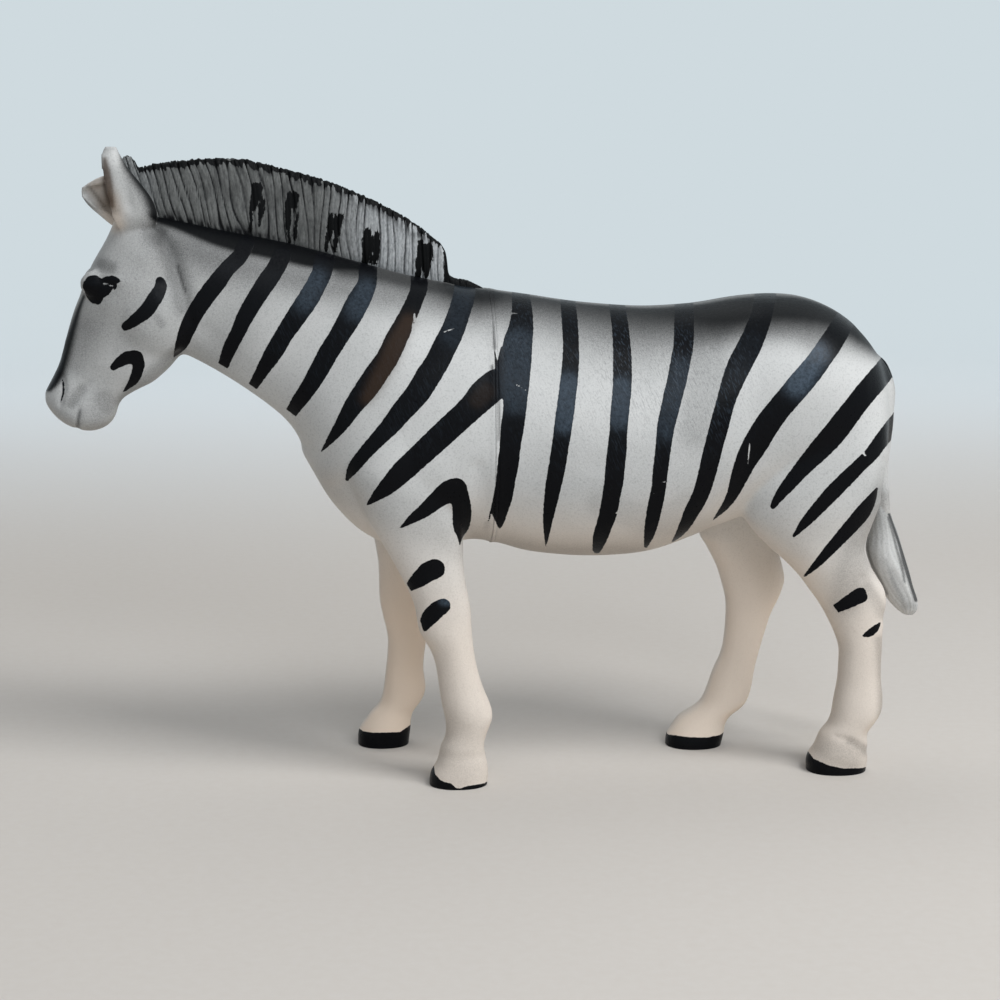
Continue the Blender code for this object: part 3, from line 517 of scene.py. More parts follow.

# Airbrushed dark paint, with painted shade in creases, under the body and where less light falls: strokes
# with a soft edge, as (softness in pixels, strength, places). Where a place has a fourth number, that is its
# own softness, and the stroke's is 1.
SPRAYS_AND_SHADE_PX = (
    (4, 1.00, ((150, 204, 2.5), (154, 212, 4), (159, 217, 4), (172, 221, 4), (188, 225, 6), (213, 233.5, 8),
               (237, 239, 10), (261, 243.5, 10.5), (285, 248.5, 10.5), (310, 254, 10.5), (332, 259, 8),
               (350, 263, 4.5), (366, 267, 1.5))),
    # Painted shadow under the mane's foot
    (9, 0.80, ((345, 264, 7), (380, 268, 8), (410, 275, 8), (440, 281, 8), (470, 287, 7), (490, 290, 6))),
    (22, 0.60, ((165, 226, 5), (195, 240, 8), (230, 254, 8), (300, 270, 8), (380, 285, 8), (470, 296, 4))),
    # Next two: painted shade along the cheek's rear edge and in its crease
    (9, 0.42, ((162, 240, 2), (172, 258, 4), (179, 280, 5), (184, 305, 4))),
    (1.2, 0.62, ((177.5, 266, 0.2), (180, 273, 0.6), (182.5, 282, 0.5), (185.5, 292, 0.2))),
    # Next two: painted shade over the head and neck, darker where less light falls
    (30, 0.24, ((120, 300, 30), (190, 300, 36), (210, 325, 24))),
    (34, 0.10, ((262, 345, 30), (300, 350, 40), (350, 400, 30))),
    # Next two: painted shadow under the brow and in its hollow
    (5, 0.42, ((102, 264, 2), (111, 267, 2))),
    (6, 0.24, ((148, 233, 2), (158, 238, 2))),
    (3, 0.50, ((155, 226, 1.5), (163, 232, 1.5))),
    (1, 0.98, ((84, 296, 0.2, 1.6), (78.6, 310, 0.3, 2.6), (73, 328, 0.6, 4), (66.5, 347, 2, 5),
               (60, 362, 4.4, 5), (55, 376, 5, 4), (49, 387, 3, 2.5))),
    (13, 0.30, ((84, 330, 3), (74, 362, 6))),
    # Painted shade in the crease beside the muzzle
    (4, 0.36, ((82, 388, 1), (77, 396, 2), (71, 404, 1))),
    (1.5, 0.62, ((80, 411, 0.2), (78.4, 419, 0.4), (77.6, 428, 0.3))),
    # Next eight: painted shade where less light falls: the head, the lower barrel, the lower legs, under the
    # chin and round the muzzle's lower edge
    (30, 0.16, ((130, 250, 20), (100, 330, 25), (85, 400, 18))),
    (36, 0.16, ((560, 475, 10), (700, 470, 10))),
    (12, 0.32, ((828, 752, 5), (850, 761, 5))),
    (26, 0.10, ((850, 640, 10), (846, 720, 10))),
    (16, 0.12, ((455, 735, 8), (465, 768, 8))),
    (7, 0.30, ((103, 398, 3), (108, 405, 3))),
    (12, 0.16, ((98, 385, 5), (104, 415, 5))),
    (14, 0.24, ((66, 400, 3), (72, 415, 6), (92, 420, 6))),
    (1, 0.98, ((462, 284, 1, 22), (484, 288, 1, 36), (545, 293, 1, 41), (595, 299, 1, 50), (645, 303, 4, 53),
               (690, 300, 15, 32), (725, 296, 23, 25), (760, 292, 22, 23), (800, 294, 21, 22),
               (840, 311, 12, 21), (864, 331, 7, 16), (879, 346, 3, 11))),
    (14, 0.42, ((700, 330, 4), (735, 324, 4), (790, 326, 4), (824, 344, 2))),
    (16, 0.28, ((706, 335, 10), (708, 370, 10), (700, 400, 8), (695, 430, 5))),
    (8, 0.70, ((560, 292, 1), (620, 297, 2), (680, 295, 5), (740, 286, 10), (780, 284, 12), (812, 291, 11),
               (842, 307, 8), (868, 328, 6))),
    # Next three: painted shade on the near hind leg's rear edge, and in the creases of its fetlock and hock
    (5, 0.34, ((879, 640, 0.5), (882, 670, 1.5), (884, 702, 2), (882, 714, 0.5))),
    (4, 0.36, ((850, 741, 0.3), (860, 746.5, 1), (866, 751, 2))),
    (5, 0.26, ((868, 588, 1), (875, 600, 2), (882, 614, 2))),
    # Painted shadow in the crease between the tail and the buttock
    (4, 0.08, ((881, 470, 1), (879, 490, 1.5), (877, 515, 1))),
    # Painted shade on the lower barrel
    (9, 0.14, ((600, 505, 6), (660, 520, 8), (688, 505, 6))),
    (3, 0.24, ((157, 317, 1), (162, 324, 1.5))),
    # Next five: painted shade on the rump, under the belly, down the near foreleg and behind the thigh beside
    # the tail
    (26, 0.12, ((800, 415, 16), (830, 470, 20), (800, 520, 16))),
    (18, 0.18, ((330, 480, 4), (420, 520, 8), (520, 552, 6), (600, 556, 6), (700, 540, 4))),
    (9, 0.26, ((480, 546, 3), (560, 556, 4), (640, 556, 3))),
    (30, 0.10, ((455, 600, 12), (462, 700, 12), (462, 760, 12))),
    (14, 0.36, ((882, 500, 4), (864, 540, 8), (852, 575, 8), (846, 600, 4))),
    # Next two: painted shade under the jaw and along the rump's turned-away edge
    (6, 0.36, ((178, 352, 1), (160, 368, 2), (140, 384, 2), (122, 401, 1))),
    (3, 0.30, ((892, 372, 0.5), (898, 390, 1), (898, 408, 0.5))),
)

# Carved relief: strokes as (height in millimetres, width in pixels added round them, places)
CARVINGS_PX = (
    (-0.30, 4, ((166, 240, 1), (173, 257, 1), (179, 275, 1), (184, 293, 1), (188, 310, 1), (190, 322, 0.5))),
    (0.20, 10, ((156, 262, 3), (166, 285, 4), (174, 308, 4))),
    (0.30, 12, ((142, 300, 12), (150, 320, 10))),
    (0.16, 7, ((112, 308, 2), (106, 335, 2), (102, 362, 2))),
    (-0.22, 9, ((120, 258, 3), (130, 268, 2))),
    (0.30, 4, ((88, 289, 4), (98, 289, 5))),
    (0.24, 2.6, ((84, 282, 0.5), (92, 277, 0.8), (102, 277, 0.8), (112, 279, 0.6), (121, 281, 0.3))),
    (-0.20, 2.4, ((88, 301, 0.4), (97, 304, 0.6), (108, 297, 0.5), (117, 288, 0.3))),
    (-0.42, 2.6, ((62.5, 377, 0.4), (63.5, 386, 0.8), (63, 393, 0.8), (60.4, 404, 0.3))),
    (0.16, 4, ((69, 376, 1), (70, 388, 1.5), (66, 400, 1))),
    (-0.26, 6, ((86, 384, 0.5), (79, 395, 1), (72, 405, 0.5))),
    (-0.28, 2.4, ((79, 408, 0.2), (77.8, 418, 0.5), (77.5, 430, 0.5))),
    (0.18, 9, ((98, 402, 4), (92, 412, 3))),
    (-0.20, 8, ((205, 330, 2), (245, 372, 3), (290, 418, 3), (325, 455, 2))),
    (0.22, 26, ((225, 290, 8), (300, 350, 12), (370, 420, 12))),
    (0.30, 16, ((430, 470, 6), (448, 508, 6))),
    (-0.30, 8, ((478, 470, 1), (481, 500, 2), (476, 528, 2))),
    (0.35, 9, ((452, 530, 3), (456, 545, 2))),
    (0.25, 24, ((790, 380, 10), (800, 440, 16), (790, 480, 12))),
    (-0.26, 7, ((757, 455, 1), (742, 480, 2), (724, 506, 2), (706, 528, 1))),
    (-0.26, 4, ((884, 462, 0.5), (881, 490, 1), (879, 520, 1), (874, 556, 0.5))),
    (-0.32, 4, ((864, 578, 0.5), (872, 592, 1.2), (878, 604, 1.2), (884, 618, 0.5))),
    (-0.30, 3.2, ((836, 737, 0.2), (852, 742, 0.8), (867, 751, 1.2))),
    (0.18, 5, ((812, 742, 1), (832, 752, 2), (856, 762, 1))),
    (-0.18, 4, ((442, 756, 0.5), (460, 759, 1), (482, 757, 0.5))),
    (0.16, 6, ((452, 640, 2), (462, 690, 2), (466, 720, 2))),
    (-0.20, 3.5, ((484, 664, 0.5), (486, 690, 1), (488, 712, 0.5))),
)

# Upper edge of each hoof's paint
HOOF_EDGES_PX = {
    "near_fore": ((430, 762), (434, 765), (435, 774), (441, 780.6), (451, 783.5), (456, 788), (460, 788.5),
                  (465, 786.5), (474, 785), (484.7, 783), (490, 780)),
    "far_fore": ((357, 727), (363, 731), (372, 732.7), (385, 732.5), (400, 732), (411, 724.5), (415, 722)),
    "near_hind": ((803, 747), (808.7, 752), (813.5, 758.5), (828, 765.3), (844, 768.6), (863, 767.8),
                  (868, 766)),
    "far_hind": ((662, 730), (668.7, 734.5), (688, 737), (707, 737.7), (720, 735), (724, 732), (728, 730)),
}

# Relief of the ears, and their airbrushed dark paint and painted shade, seen directly: height in millimetres
# or strength, softness, places
EAR_CARVINGS_PX = (
    (-0.22, 1.8, ((88, 194, 0.3), (98, 200, 0.5), (110, 212, 0.5))),
    (-0.22, 1.8, ((90, 200, 0.3), (99, 207, 0.5), (109, 219, 0.5))),
    (-0.20, 1.8, ((92, 188, 0.3), (101, 192, 0.5), (110, 202, 0.5))),
    (-0.20, 3, ((120, 165, 0.5), (126, 185, 1), (130, 205, 1))),
)
EAR_SPRAYS_PX = (
    (1, 0.98, ((121, 149, 0.3, 3), (127, 164, 1, 5), (139, 178, 3, 7), (150, 191, 4, 8), (156, 203, 4.5, 8),
               (159, 216, 5, 7))),
    (8, 0.30, ((124, 172, 3), (136, 194, 6), (143, 208, 5))),
    # Painted shade under the near ear's front edge
    (5, 0.34, ((106, 172, 2), (110, 195, 2.5), (113, 214, 3), (118, 225, 2))),
    (4, 0.25, ((105, 149, 0.5), (112, 146, 1))),
    # Next four: thin lines of painted shade in the far ear's creases and along its rims
    (1.4, 0.50, ((91, 189, 0.3), (96, 195, 0.4), (103, 205, 0.5), (110, 216, 0.5))),
    (1.6, 0.35, ((87, 187, 0.3), (95, 181, 0.4), (105, 178.5, 0.4))),
    (1.6, 0.45, ((85, 200, 0.3), (95, 212, 0.4), (106, 224, 0.5))),
    (1.2, 0.20, ((88, 197, 0.2), (97, 208, 0.3), (107, 219, 0.3))),
)
EAR_BROWNS_AND_SHADE_PX = (
    # Brown with painted shade inside the near ear's cup, along its front edge
    (2.5, 0.78, ((104.5, 160, 0.5), (106, 172, 2.2), (108, 186, 2.6), (110, 198, 1.6), (112, 206, 0.5))),
    (8, 0.24, ((109, 200, 3), (113, 216, 5))),
    (6, 0.16, ((98, 190, 4), (106, 202, 4))),
)

EAR_WARMS_PX = (
    (7, 0.60, ((108, 204, 2), (112, 214, 4), (117, 224, 2))),
    (7, 0.45, ((98, 186, 5), (107, 200, 5))),
)

# Painted shade in the girth seam, brown under-paint, painted sheen on the black and engraved hair, as the
# sprays above
SEAM_SHADE_PX = (
    (1.3, 0.62, ((492.6, 306, 0.3), (493.6, 325, 0.5), (495, 348, 0.6))),
    (1.2, 0.75, ((491.8, 366, 0.3), (493.5, 384, 0.5), (495, 402, 0.4))),
    (1.6, 0.45, ((486.5, 290, 0.4), (490, 304, 0.5), (492.6, 310, 0.4))),
    (1.3, 0.40, ((498, 400, 0.4), (498.8, 420, 0.4), (498.4, 440, 0.3))),
    (4, 0.25, ((487, 525, 1), (482, 545, 1.5))),
)
BROWNS_PX = (
    (7, 0.38, ((408, 322, 2), (396, 345, 4), (387, 365, 4), (376, 385, 3), (368, 398, 1))),
    (5, 0.14, ((486, 392, 5), (478, 400, 4))),
)
# Painted sheen: grey-blue where light glances off the black stripes
PAINTED_SHEEN_PX = (
    (9, 0.55, ((315, 281, 5), (306, 300, 4))),
    (9, 0.55, ((365, 291, 4), (358, 308, 5))),
    (9, 0.22, ((462, 296, 5), (452, 335, 5))),
    (9, 0.42, ((519, 345, 9), (516, 400, 6))),
    (7, 0.80, ((568, 384, 5), (565, 422, 5))),
    (7, 0.65, ((622, 388, 5), (620, 418, 5))),
    (9, 0.35, ((681, 370, 5), (668, 428, 5))),
    (8, 0.06, ((752, 345, 5), (738, 372, 5))),
    (3, 0.80, ((443, 601, 1.5), (448, 602, 1))),
    (8, 1.00, ((816, 355, 6), (798, 384, 6))),
)
HAIR_PX = (
    (26, 1.0, ((625, 370, 22), (690, 385, 24))),
    (36, 0.40, ((520, 340, 20), (600, 400, 40), (720, 370, 20))),
    (24, 0.22, ((300, 330, 20), (420, 400, 30))),
)

# Black bars painted across the mane, foot to top, and bare chips in its paint
MANE_BARS_PX = (
    ((250.5, 231, 1.5), (251, 216, 2.6), (254, 205, 4.5), (256, 196, 6), (257, 188, 6)),
    ((259.5, 226, 1), (260.5, 212, 3), (262, 200, 4)),
    ((289.5, 243, 1.5), (288, 225, 2.5), (288.5, 213, 4), (291, 204, 6.5), (293, 197, 6)),
    ((294.5, 240, 1), (296, 226, 1.8), (297, 214, 2.5)),
    ((326, 250, 1.2), (327.5, 240, 2.5), (331, 228, 4), (332.5, 216, 4)),
    ((334.5, 252, 1.5), (335.5, 240, 2.5), (337.5, 226, 4), (340, 217, 3.5)),
    ((365, 262, 4), (367, 248, 5), (368, 238, 5), (368, 231, 4)),
    ((370.5, 262, 1.5), (372, 246, 2.4), (372.5, 236, 2.4)),
    ((375, 263, 2.5), (376.5, 248, 4.2), (377, 235, 4)),
    ((418, 279, 2.5), (419, 262, 3.5), (420.5, 243, 3.5)),
    ((422.5, 270, 1.2), (423.5, 256, 2), (424, 245, 2)),
    ((426, 276, 2.2), (427, 262, 5.4), (428, 248, 5.4)),
)
MANE_CHIPS_PX = (
    ((259, 201, 0.9), (259, 203, 0.5)),
    ((292, 208, 0.6), (292, 211, 0.9)),
    ((253.5, 212, 0.3), (254.5, 228, 0.8)),
    ((228, 159, 1.4), (233, 159.5, 0.9)),
    ((322, 182, 1.0), (325, 187, 0.4)),
    ((333, 214, 0.8), (334, 220, 0.3)),
)
MANE_GREYS_PX = (
    (7, 0.85, ((145, 168, 1), (190, 161, 1), (230, 160, 2), (290, 170, 3), (340, 188, 2), (390, 212, 2),
               (430, 240, 2))),
    # Next two: darker along the mane's foot, painted shadow where it meets the neck
    (6, 0.55, ((168, 214, 1), (210, 225, 1), (250, 232, 1))),
    (2, 1.00, ((166, 217, 1), (200, 225, 2.5), (240, 233, 2.5), (280, 241, 1.5))),
    (8, 0.40, ((214, 180, 12), (240, 190, 12))),
    (14, 0.40, ((284, 200, 8), (300, 224, 10))),
)

# Strand lines and dark rear edge of the tail, and a painted shadow along the tuft's front edge by the thigh,
# seen from the near side
TAIL_SPRAYS_PX = (
    (1.2, 0.85, ((888, 511, 0.2), (894.6, 530, 0.6), (899.6, 545, 0.8), (904.6, 562, 1.4), (911, 583, 1.4),
                 (916, 600, 1))),
    (1, 0.62, ((888, 517, 0.2), (892.6, 533, 0.5), (897, 550, 0.5), (901.6, 566, 0.7), (904.6, 582, 0.2))),
    (2, 0.26, ((886, 560, 0.3), (893, 580, 0.5), (903, 600, 0.3))),
    # Painted shadow along the tuft's front edge, where it meets the thigh
    (1.4, 0.50, ((868.5, 528, 0.3), (867, 542, 0.5), (868, 553, 0.5), (873, 567, 0.5), (880.6, 581, 0.5),
                 (887, 594, 0.3))),
    (3, 0.22, ((905, 606, 1), (914, 606, 1))),
    (5, 0.20, ((893, 572, 1), (899, 588, 3), (906, 600, 3))),
)

# The four legs: outline, place of the hoof, and sideways place of the root
LEGS = {
    "near_fore": (NEAR_FORE_SHARES, NEAR_FORE_X, NEAR_FORE_Y, -FORE_ROOT_Y),
    "far_fore": (FAR_FORE_SHARES, FAR_FORE_X, FAR_FORE_Y, FORE_ROOT_Y),
    "near_hind": (NEAR_HIND_SHARES, NEAR_HIND_X, NEAR_HIND_Y, -HIND_ROOT_Y),
    "far_hind": (FAR_HIND_SHARES, FAR_HIND_X, FAR_HIND_Y, HIND_ROOT_Y),
}
LEGS_MIDDLE = (NEAR_FORE_X + FAR_HIND_X) / 2
LEG_FOLD_SHARES = (1.15, 0.85)

# Fineness of the modelled forms, and how far off a stroke or a spray is still looked for
FORM_STEPS = 6
FORM_SIDES = 56
MANE_TABLE_STEPS = 12
STROKE_STEPS = 3
SHORTEST_RUN_PX = 0.001
FAR_OFF_PX = 40
SPRAY_REACH = 3
BEND_STEPS = 12

# Height where the ears leave the head, and the relief all over the skin
EAR_ROOT_HEIGHT = 0.1345
PARTING_RISE = 0.00014
PARTING_WIDTH = 0.0004
SWELL_HEIGHT = 0.00010
SWELL_SIZE = 0.0110
SWELL_SEED = 3.7

# How far the skin faces outward where relief, brush, spray and cream fade in, from and to
CARVED_FACING = (-0.2, 0.3)
BRUSHED_FACING = (-0.5, -0.2)
SPRAYED_FACING = (-0.35, 0.20)
INNER_FACING = (0.15, -0.5)
PARTING_FACING = (-0.25, -0.6)
UNDER_FACING = (-0.1, -0.8)
BRUSH_LIFT_MM = 8

# Cream of the bare plastic on the lower legs, and on inward faces and under the belly also painted warm light
# bounced from the floor: where it fades in, and how much of it shows
CREAM_HEIGHTS = (0.075, 0.030)
UNDER_HEIGHTS = (0.095, 0.070)
EAR_CREAM_HEIGHTS = (0.120, 0.128)
FORE_REACH = (0.03, -0.01)
CREAM_SHARE = 0.58
INNER_CREAM_SHARE = 0.24
FORE_CREAM_SHARE = 0.18
UNDER_CREAM_SHARE = 0.35

# The bead's unevenness, and how far out a point of the shell's end must lie to count as its rim
BEAD_DRIFT_SHARE = 0.5
BEAD_DRIFTS = 9
RIM_SHARE = 0.8

# Upright streaks of noise on the mane: width, length and seed, and the shift on its far side
LOCK_STREAK = (MANE_DRIFT, MANE_DRIFT * 4, 0.0)
DEPTH_STREAK = (MANE_DRIFT * 0.6, MANE_DRIFT * 3, 5.3)
RAGGED_STREAK = (0.0009, 0.02, 2.1)
BRUSH_STREAK = (0.0007, 0.0030, 9.4)
FAR_SIDE_SHIFT = 31.0

# How the streaks move the mane's locks and hairlines, and the relief that these give
LOCK_WANDER = 0.8
HAIRLINE_WANDER = 1.6
HAIRLINE_SHARPNESS = 0.7
GROOVE_WIDTH_SHARE = 0.32
GROOVE_MEAN_SHARE, GROOVE_SWING_SHARE, GROOVE_LEAST_SHARE = 0.80, 0.9, 0.25
RELIEF_SHARES = {"groove": 0.65, "rounding": 0.30, "hairline": 0.16}
DEEPEST_SHARE = 0.7
TOOTH_SHARES = {"groove": 0.8, "even": 0.45, "ragged": 0.7}

# Where things fade in on the mane: along the neck, in neck lengths, and up the mane
LEAN_AHEAD_SHARES = (0.45, 0.95)
FRONT_AHEAD_SHARES = (0.27, 0.52)
FORELOCK_AHEAD_SHARES = (0.95, 1.0)
THICK_EDGE_AHEAD_SHARES = (0.30, 0.55)
EDGE_END_AHEAD_SHARES = (1.06, 0.96)
FOOT_FADE_SHARES = (-0.05, 0.06)
TOOTH_FADE_SHARES = (0.72, 1.0)
TOOTH_FADE_HEIGHTS = (0, 0.004)

# The mane's black top edge, in millimetres, and how much the brush and the grooves move its paint
MANE_EDGE_LIMIT = 4.0
THIN_EDGE_SHARE = 0.75
BAR_BRUSH, EDGE_BRUSH, EDGE_GROOVE = 0.35, 1.3, 1.6

# Dark paint left on the mane, and painted shade down the rounded sides of its locks, at the withers and then
# behind the ears, and the brushed grey
GROOVE_DARK_SHARES = (0.34, 1.00)
ROUNDING_DARK_SHARES = (0.24, 0.10)
HAIRLINE_DARK_SHARES = (0.20, 0.09)
BRUSH_DARK_SHARE = 0.05
FORELOCK_PALE_SHARE = 0.25
GREY_BRUSHED = (-0.5, 0.3)

# The tail's strands: where they start and show, and how they wander on their way down. Their noise
# goes round by the circle's radians, and has a size round the tail and a number of swells down it.
STRAND_DOWN_SHARES = (0.40, 0.62)
STRAND_TURN_SHARES = (-0.2, 0.6)
STRAND_INNER_SHARE = 0.45
STRAND_SHADE_SHARE = 0.15
STRAND_SHARPNESS = 0.6
STRAND_CIRCLE = 6.283
STRAND_DRIFT = (1.2, 5)
STRAND_WANDER = 1.3
STRAND_TWIST = 1.2

# Finishes
HAIR_LEAN = math.radians(-23)
PAINT_IOR = 1.40
PAINT_GLOSS = 0.11
MANE_GLOSS = 0.10
MANE_ROUGHNESS = 0.52
PAPER_ROUGHNESS = 0.9
PAPER_BEND_SHARE = 0.5
PAPER_TURN_SHARES = (0.12, 0.45)
PAPER_FADE_SHARES = (0.30, 0.62)

# The room's own light, and the place that the lamps aim at
ROOM_AIR = "#f3f4f6"
LAMP_AIM = Vector((0, 0, 0.07))


def smooth_rows(rows, steps):
    """Catmull-Rom curve through the rows of a table, with the given steps in each span."""
    rows = np.array(rows, dtype=float)
    padded = np.vstack([2 * rows[0] - rows[1], rows, 2 * rows[-1] - rows[-2]])
    made = []
    for span in range(1, len(padded) - 2):
        before, start, end, after = padded[span - 1:span + 3]
        for step in range(steps):
            t = step / steps
            made.append(0.5 * (2 * start + (end - before) * t
                               + (2 * before - 5 * start + 4 * end - after) * t ** 2
                               + (3 * start - 3 * end + after - before) * t ** 3))
    made.append(rows[-1])
    return np.array(made)


def smoothstep(low, high, value):
    """0 up to the low value, 1 from the high one, with an eased rise between them."""
    t = np.clip((value - low) / (high - low), 0.0, 1.0)
    return t * t * (3 - 2 * t)


def falloff(distance, softness):
    """1 where the distance is negative, fading to 0 over about twice the softness."""
    return np.exp(-(np.clip(distance, 0.0, None) / softness) ** 2)


def linear(hex_colour):
    """An sRGB hex colour as linear red, green and blue."""
    parts = [int(hex_colour[i:i + 2], 16) / 255 for i in (1, 3, 5)]
    return tuple(c / 12.92 if c <= 0.04045 else ((c + 0.055) / 1.055) ** 2.4 for c in parts)


# Where the skin's points fall in the photograph
CAMERA_BACK = Vector((math.sin(CAMERA_AZIMUTH) * math.cos(CAMERA_ELEVATION),
                      -math.cos(CAMERA_AZIMUTH) * math.cos(CAMERA_ELEVATION),
                      math.sin(CAMERA_ELEVATION)))
CAMERA_RIGHT = Vector((math.cos(CAMERA_AZIMUTH), math.sin(CAMERA_AZIMUTH), 0.0))
CAMERA_UP = CAMERA_BACK.cross(CAMERA_RIGHT)
CAMERA_PLACE = CAMERA_TARGET + CAMERA_BACK * CAMERA_DISTANCE
PIXELS_PER_SLOPE = PHOTO_SIZE * LENS_MM / FILM_MM
PIXEL_MM = CAMERA_DISTANCE / PIXELS_PER_SLOPE / MM


def project(points):
    """Pixel places of an array of points, as the photograph's camera sees them."""
    away = points - np.array(CAMERA_PLACE)
    depth = -(away @ np.array(CAMERA_BACK))
    across = PHOTO_SIZE / 2 + PIXELS_PER_SLOPE * (away @ np.array(CAMERA_RIGHT)) / depth
    down = PHOTO_SIZE / 2 - PIXELS_PER_SLOPE * (away @ np.array(CAMERA_UP)) / depth
    return np.stack([across, down], axis=1)


def leg_line(table, hoof_x, heights):
    """Middle and half depth of a leg along X, at each height."""
    rows = np.array(table)[::-1]
    shares = np.clip(heights / BELLY_HEIGHT, rows[0, 0], rows[-1, 0])
    middle = hoof_x + np.interp(shares, rows[:, 0], rows[:, 1]) * BELLY_HEIGHT
    return middle, np.interp(shares, rows[:, 0], rows[:, 2]) * HOOF_LENGTH / 2


def mirrored(points):
    """The far side's points moved straight across to the near side."""
    made = points.copy()
    made[:, 1] = -np.abs(points[:, 1])
    return made


def folded(points):
    """The far side's points moved to the matching places of the near side, leg by leg."""
    made = mirrored(points)
    heights = points[:, 2]
    low = smoothstep(*LEG_FOLD_SHARES, heights / BELLY_HEIGHT)
    fore = points[:, 0] < LEGS_MIDDLE
    for pair, zone in (("fore", fore), ("hind", ~fore)):
        far_table, far_x, far_y, _ = LEGS["far_" + pair]
        near_table, near_x, near_y, _ = LEGS["near_" + pair]
        from_x, from_reach = leg_line(far_table, far_x, heights)
        to_x, to_reach = leg_line(near_table, near_x, heights)
        moved = to_x + (points[:, 0] - from_x) * to_reach / from_reach
        share = np.where((points[:, 1] > 0) & zone, low, 0.0)
        made[:, 0] += share * (moved - points[:, 0])
        made[:, 1] += share * (far_y + near_y)
    return made


def stroke_depth(places, stroke, margin=FAR_OFF_PX):
    """How many pixels each place lies inside a tapered stroke, negative outside it.

    Where the stroke's rows have a fourth number, a softness, the depth is counted in that instead.
    """
    line = smooth_rows(stroke, STROKE_STEPS) if len(stroke) > 2 else np.array(stroke, dtype=float)
    soft = line[:, 3] if line.shape[1] > 3 else np.ones(len(line))
    depth = np.full(len(places), -float(margin))
    reach = margin * soft.max()
    low, high = line[:, :2].min(axis=0) - reach, line[:, :2].max(axis=0) + reach
    near = np.flatnonzero(((places > low) & (places < high)).all(axis=1))
    here, best = places[near], depth[near]
    for start, end, start_soft, end_soft in zip(line, line[1:], soft, soft[1:]):
        run = end[:2] - start[:2]
        share = np.clip((here - start[:2]) @ run / max(run @ run, SHORTEST_RUN_PX), 0.0, 1.0)
        gap = np.linalg.norm(here - start[:2] - share[:, None] * run, axis=1)
        inside = start[2] + (end[2] - start[2]) * share - gap
        best = np.maximum(best, inside / (start_soft + (end_soft - start_soft) * share))
    depth[near] = best
    return depth


def section(upper, lower, middle, half, egg, square, sides):
    """One ring of a loft, between two points of the XZ plane; egg widens its lower end."""
    upper, lower = np.array(upper), np.array(lower)
    centre, reach = (upper + lower) / 2, (upper - lower) / 2
    ring = []
    for side in range(sides):
        angle = 2 * math.pi * side / sides
        along = math.copysign(abs(math.cos(angle)) ** (2 / square), math.cos(angle))
        across = math.copysign(abs(math.sin(angle)) ** (2 / square), math.sin(angle))
        place = centre + reach * along
        ring.append((place[0], middle + half * across * (1 - egg * along), place[1]))
    return ring


def loft(bm, rings, looped=False):
    """Skin over the rings, joined into a loop or closed with a face at each end."""
    made = [[bm.verts.new(point) for point in ring] for ring in rings]
    sides = len(rings[0])
    for first, second in zip(made, made[1:] + (made[:1] if looped else [])):
        for side in range(sides):
            following = (side + 1) % sides
            bm.faces.new((first[side], first[following], second[following], second[side]))
    if not looped:
        bm.faces.new(made[0])
        bm.faces.new(list(reversed(made[-1])))


def new_mesh(name, build):
    """A mesh filled by the given function, with its faces turned outward."""
    bm = bmesh.new()
    build(bm)
    bmesh.ops.recalc_face_normals(bm, faces=bm.faces)
    mesh = bpy.data.meshes.new(name)
    bm.to_mesh(mesh)
    bm.free()
    return mesh


def new_object(name, data):
    """An object in the scene that shows the data."""
    made = bpy.data.objects.new(name, data)
    bpy.context.scene.collection.objects.link(made)
    return made


def neck_point(ahead, rise):
    """A place ahead of the girth and above the back, in neck lengths."""
    return GIRTH_X - ahead * NECK_LENGTH, BACK_HEIGHT + rise * NECK_LENGTH


def head_point(ahead, rise):
    """A place ahead of the poll and above it, in head lengths."""
    poll = neck_point(*POLL_PLACE_SHARES)
    return poll[0] - ahead * HEAD_LENGTH, poll[1] + rise * HEAD_LENGTH


def tail_point(back, down):
    """A place behind the rump and below the dock, in tail lengths."""
    dock_z = BELLY_HEIGHT + TRUNK_DEPTH * DOCK_RISE_SHARE
    return Vector((TRUNK_FRONT + TRUNK_LENGTH + back * TAIL_LENGTH, dock_z - down * TAIL_LENGTH))


def trunk_sections():
    """Upright rings of the trunk, from chest to rump."""
    rings = []
    for along, top, bottom, half, egg in smooth_rows(TRUNK_SHARES, FORM_STEPS):
        x = TRUNK_FRONT + along * TRUNK_LENGTH
        upper = (x, BELLY_HEIGHT + top * TRUNK_DEPTH)
        lower = (x, BELLY_HEIGHT + bottom * TRUNK_DEPTH)
        reach = half * BARREL_WIDTH / 2
        rings.append(section(upper, lower, 0, reach, egg, TRUNK_SQUARENESS, FORM_SIDES))
    return rings


def slanted_sections(table, point, width, square, egg=None):
    """Rings of the neck or head, whose table's rows end in half width and, for the head, egg."""
    rings = []
    for row in smooth_rows(table, FORM_STEPS):
        upper, lower = point(row[0], row[1]), point(row[2], row[3])
        widening = row[5] if egg is None else egg
        rings.append(section(upper, lower, 0, row[4] * width / 2, widening, square, FORM_SIDES))
    return rings


def leg_sections(table, hoof_x, hoof_y, root_y):
    """Rings of a leg, which runs on past its sole."""
    rings = []
    for height, offset, depth, half in smooth_rows(table, FORM_STEPS):
        z = height * BELLY_HEIGHT
        x = hoof_x + offset * BELLY_HEIGHT
        reach = depth * HOOF_LENGTH / 2
        y = hoof_y + (root_y - hoof_y) * min(height, 1)
        thick = half * HOOF_WIDTH / 2
        rings.append(section((x - reach, z), (x + reach, z), y, thick, 0, LIMB_SQUARENESS, FORM_SIDES))
    rings.append([(x, y, z - HOOF_LENGTH * SOLE_OVERRUN_SHARE) for x, y, z in rings[-1]])
    return rings


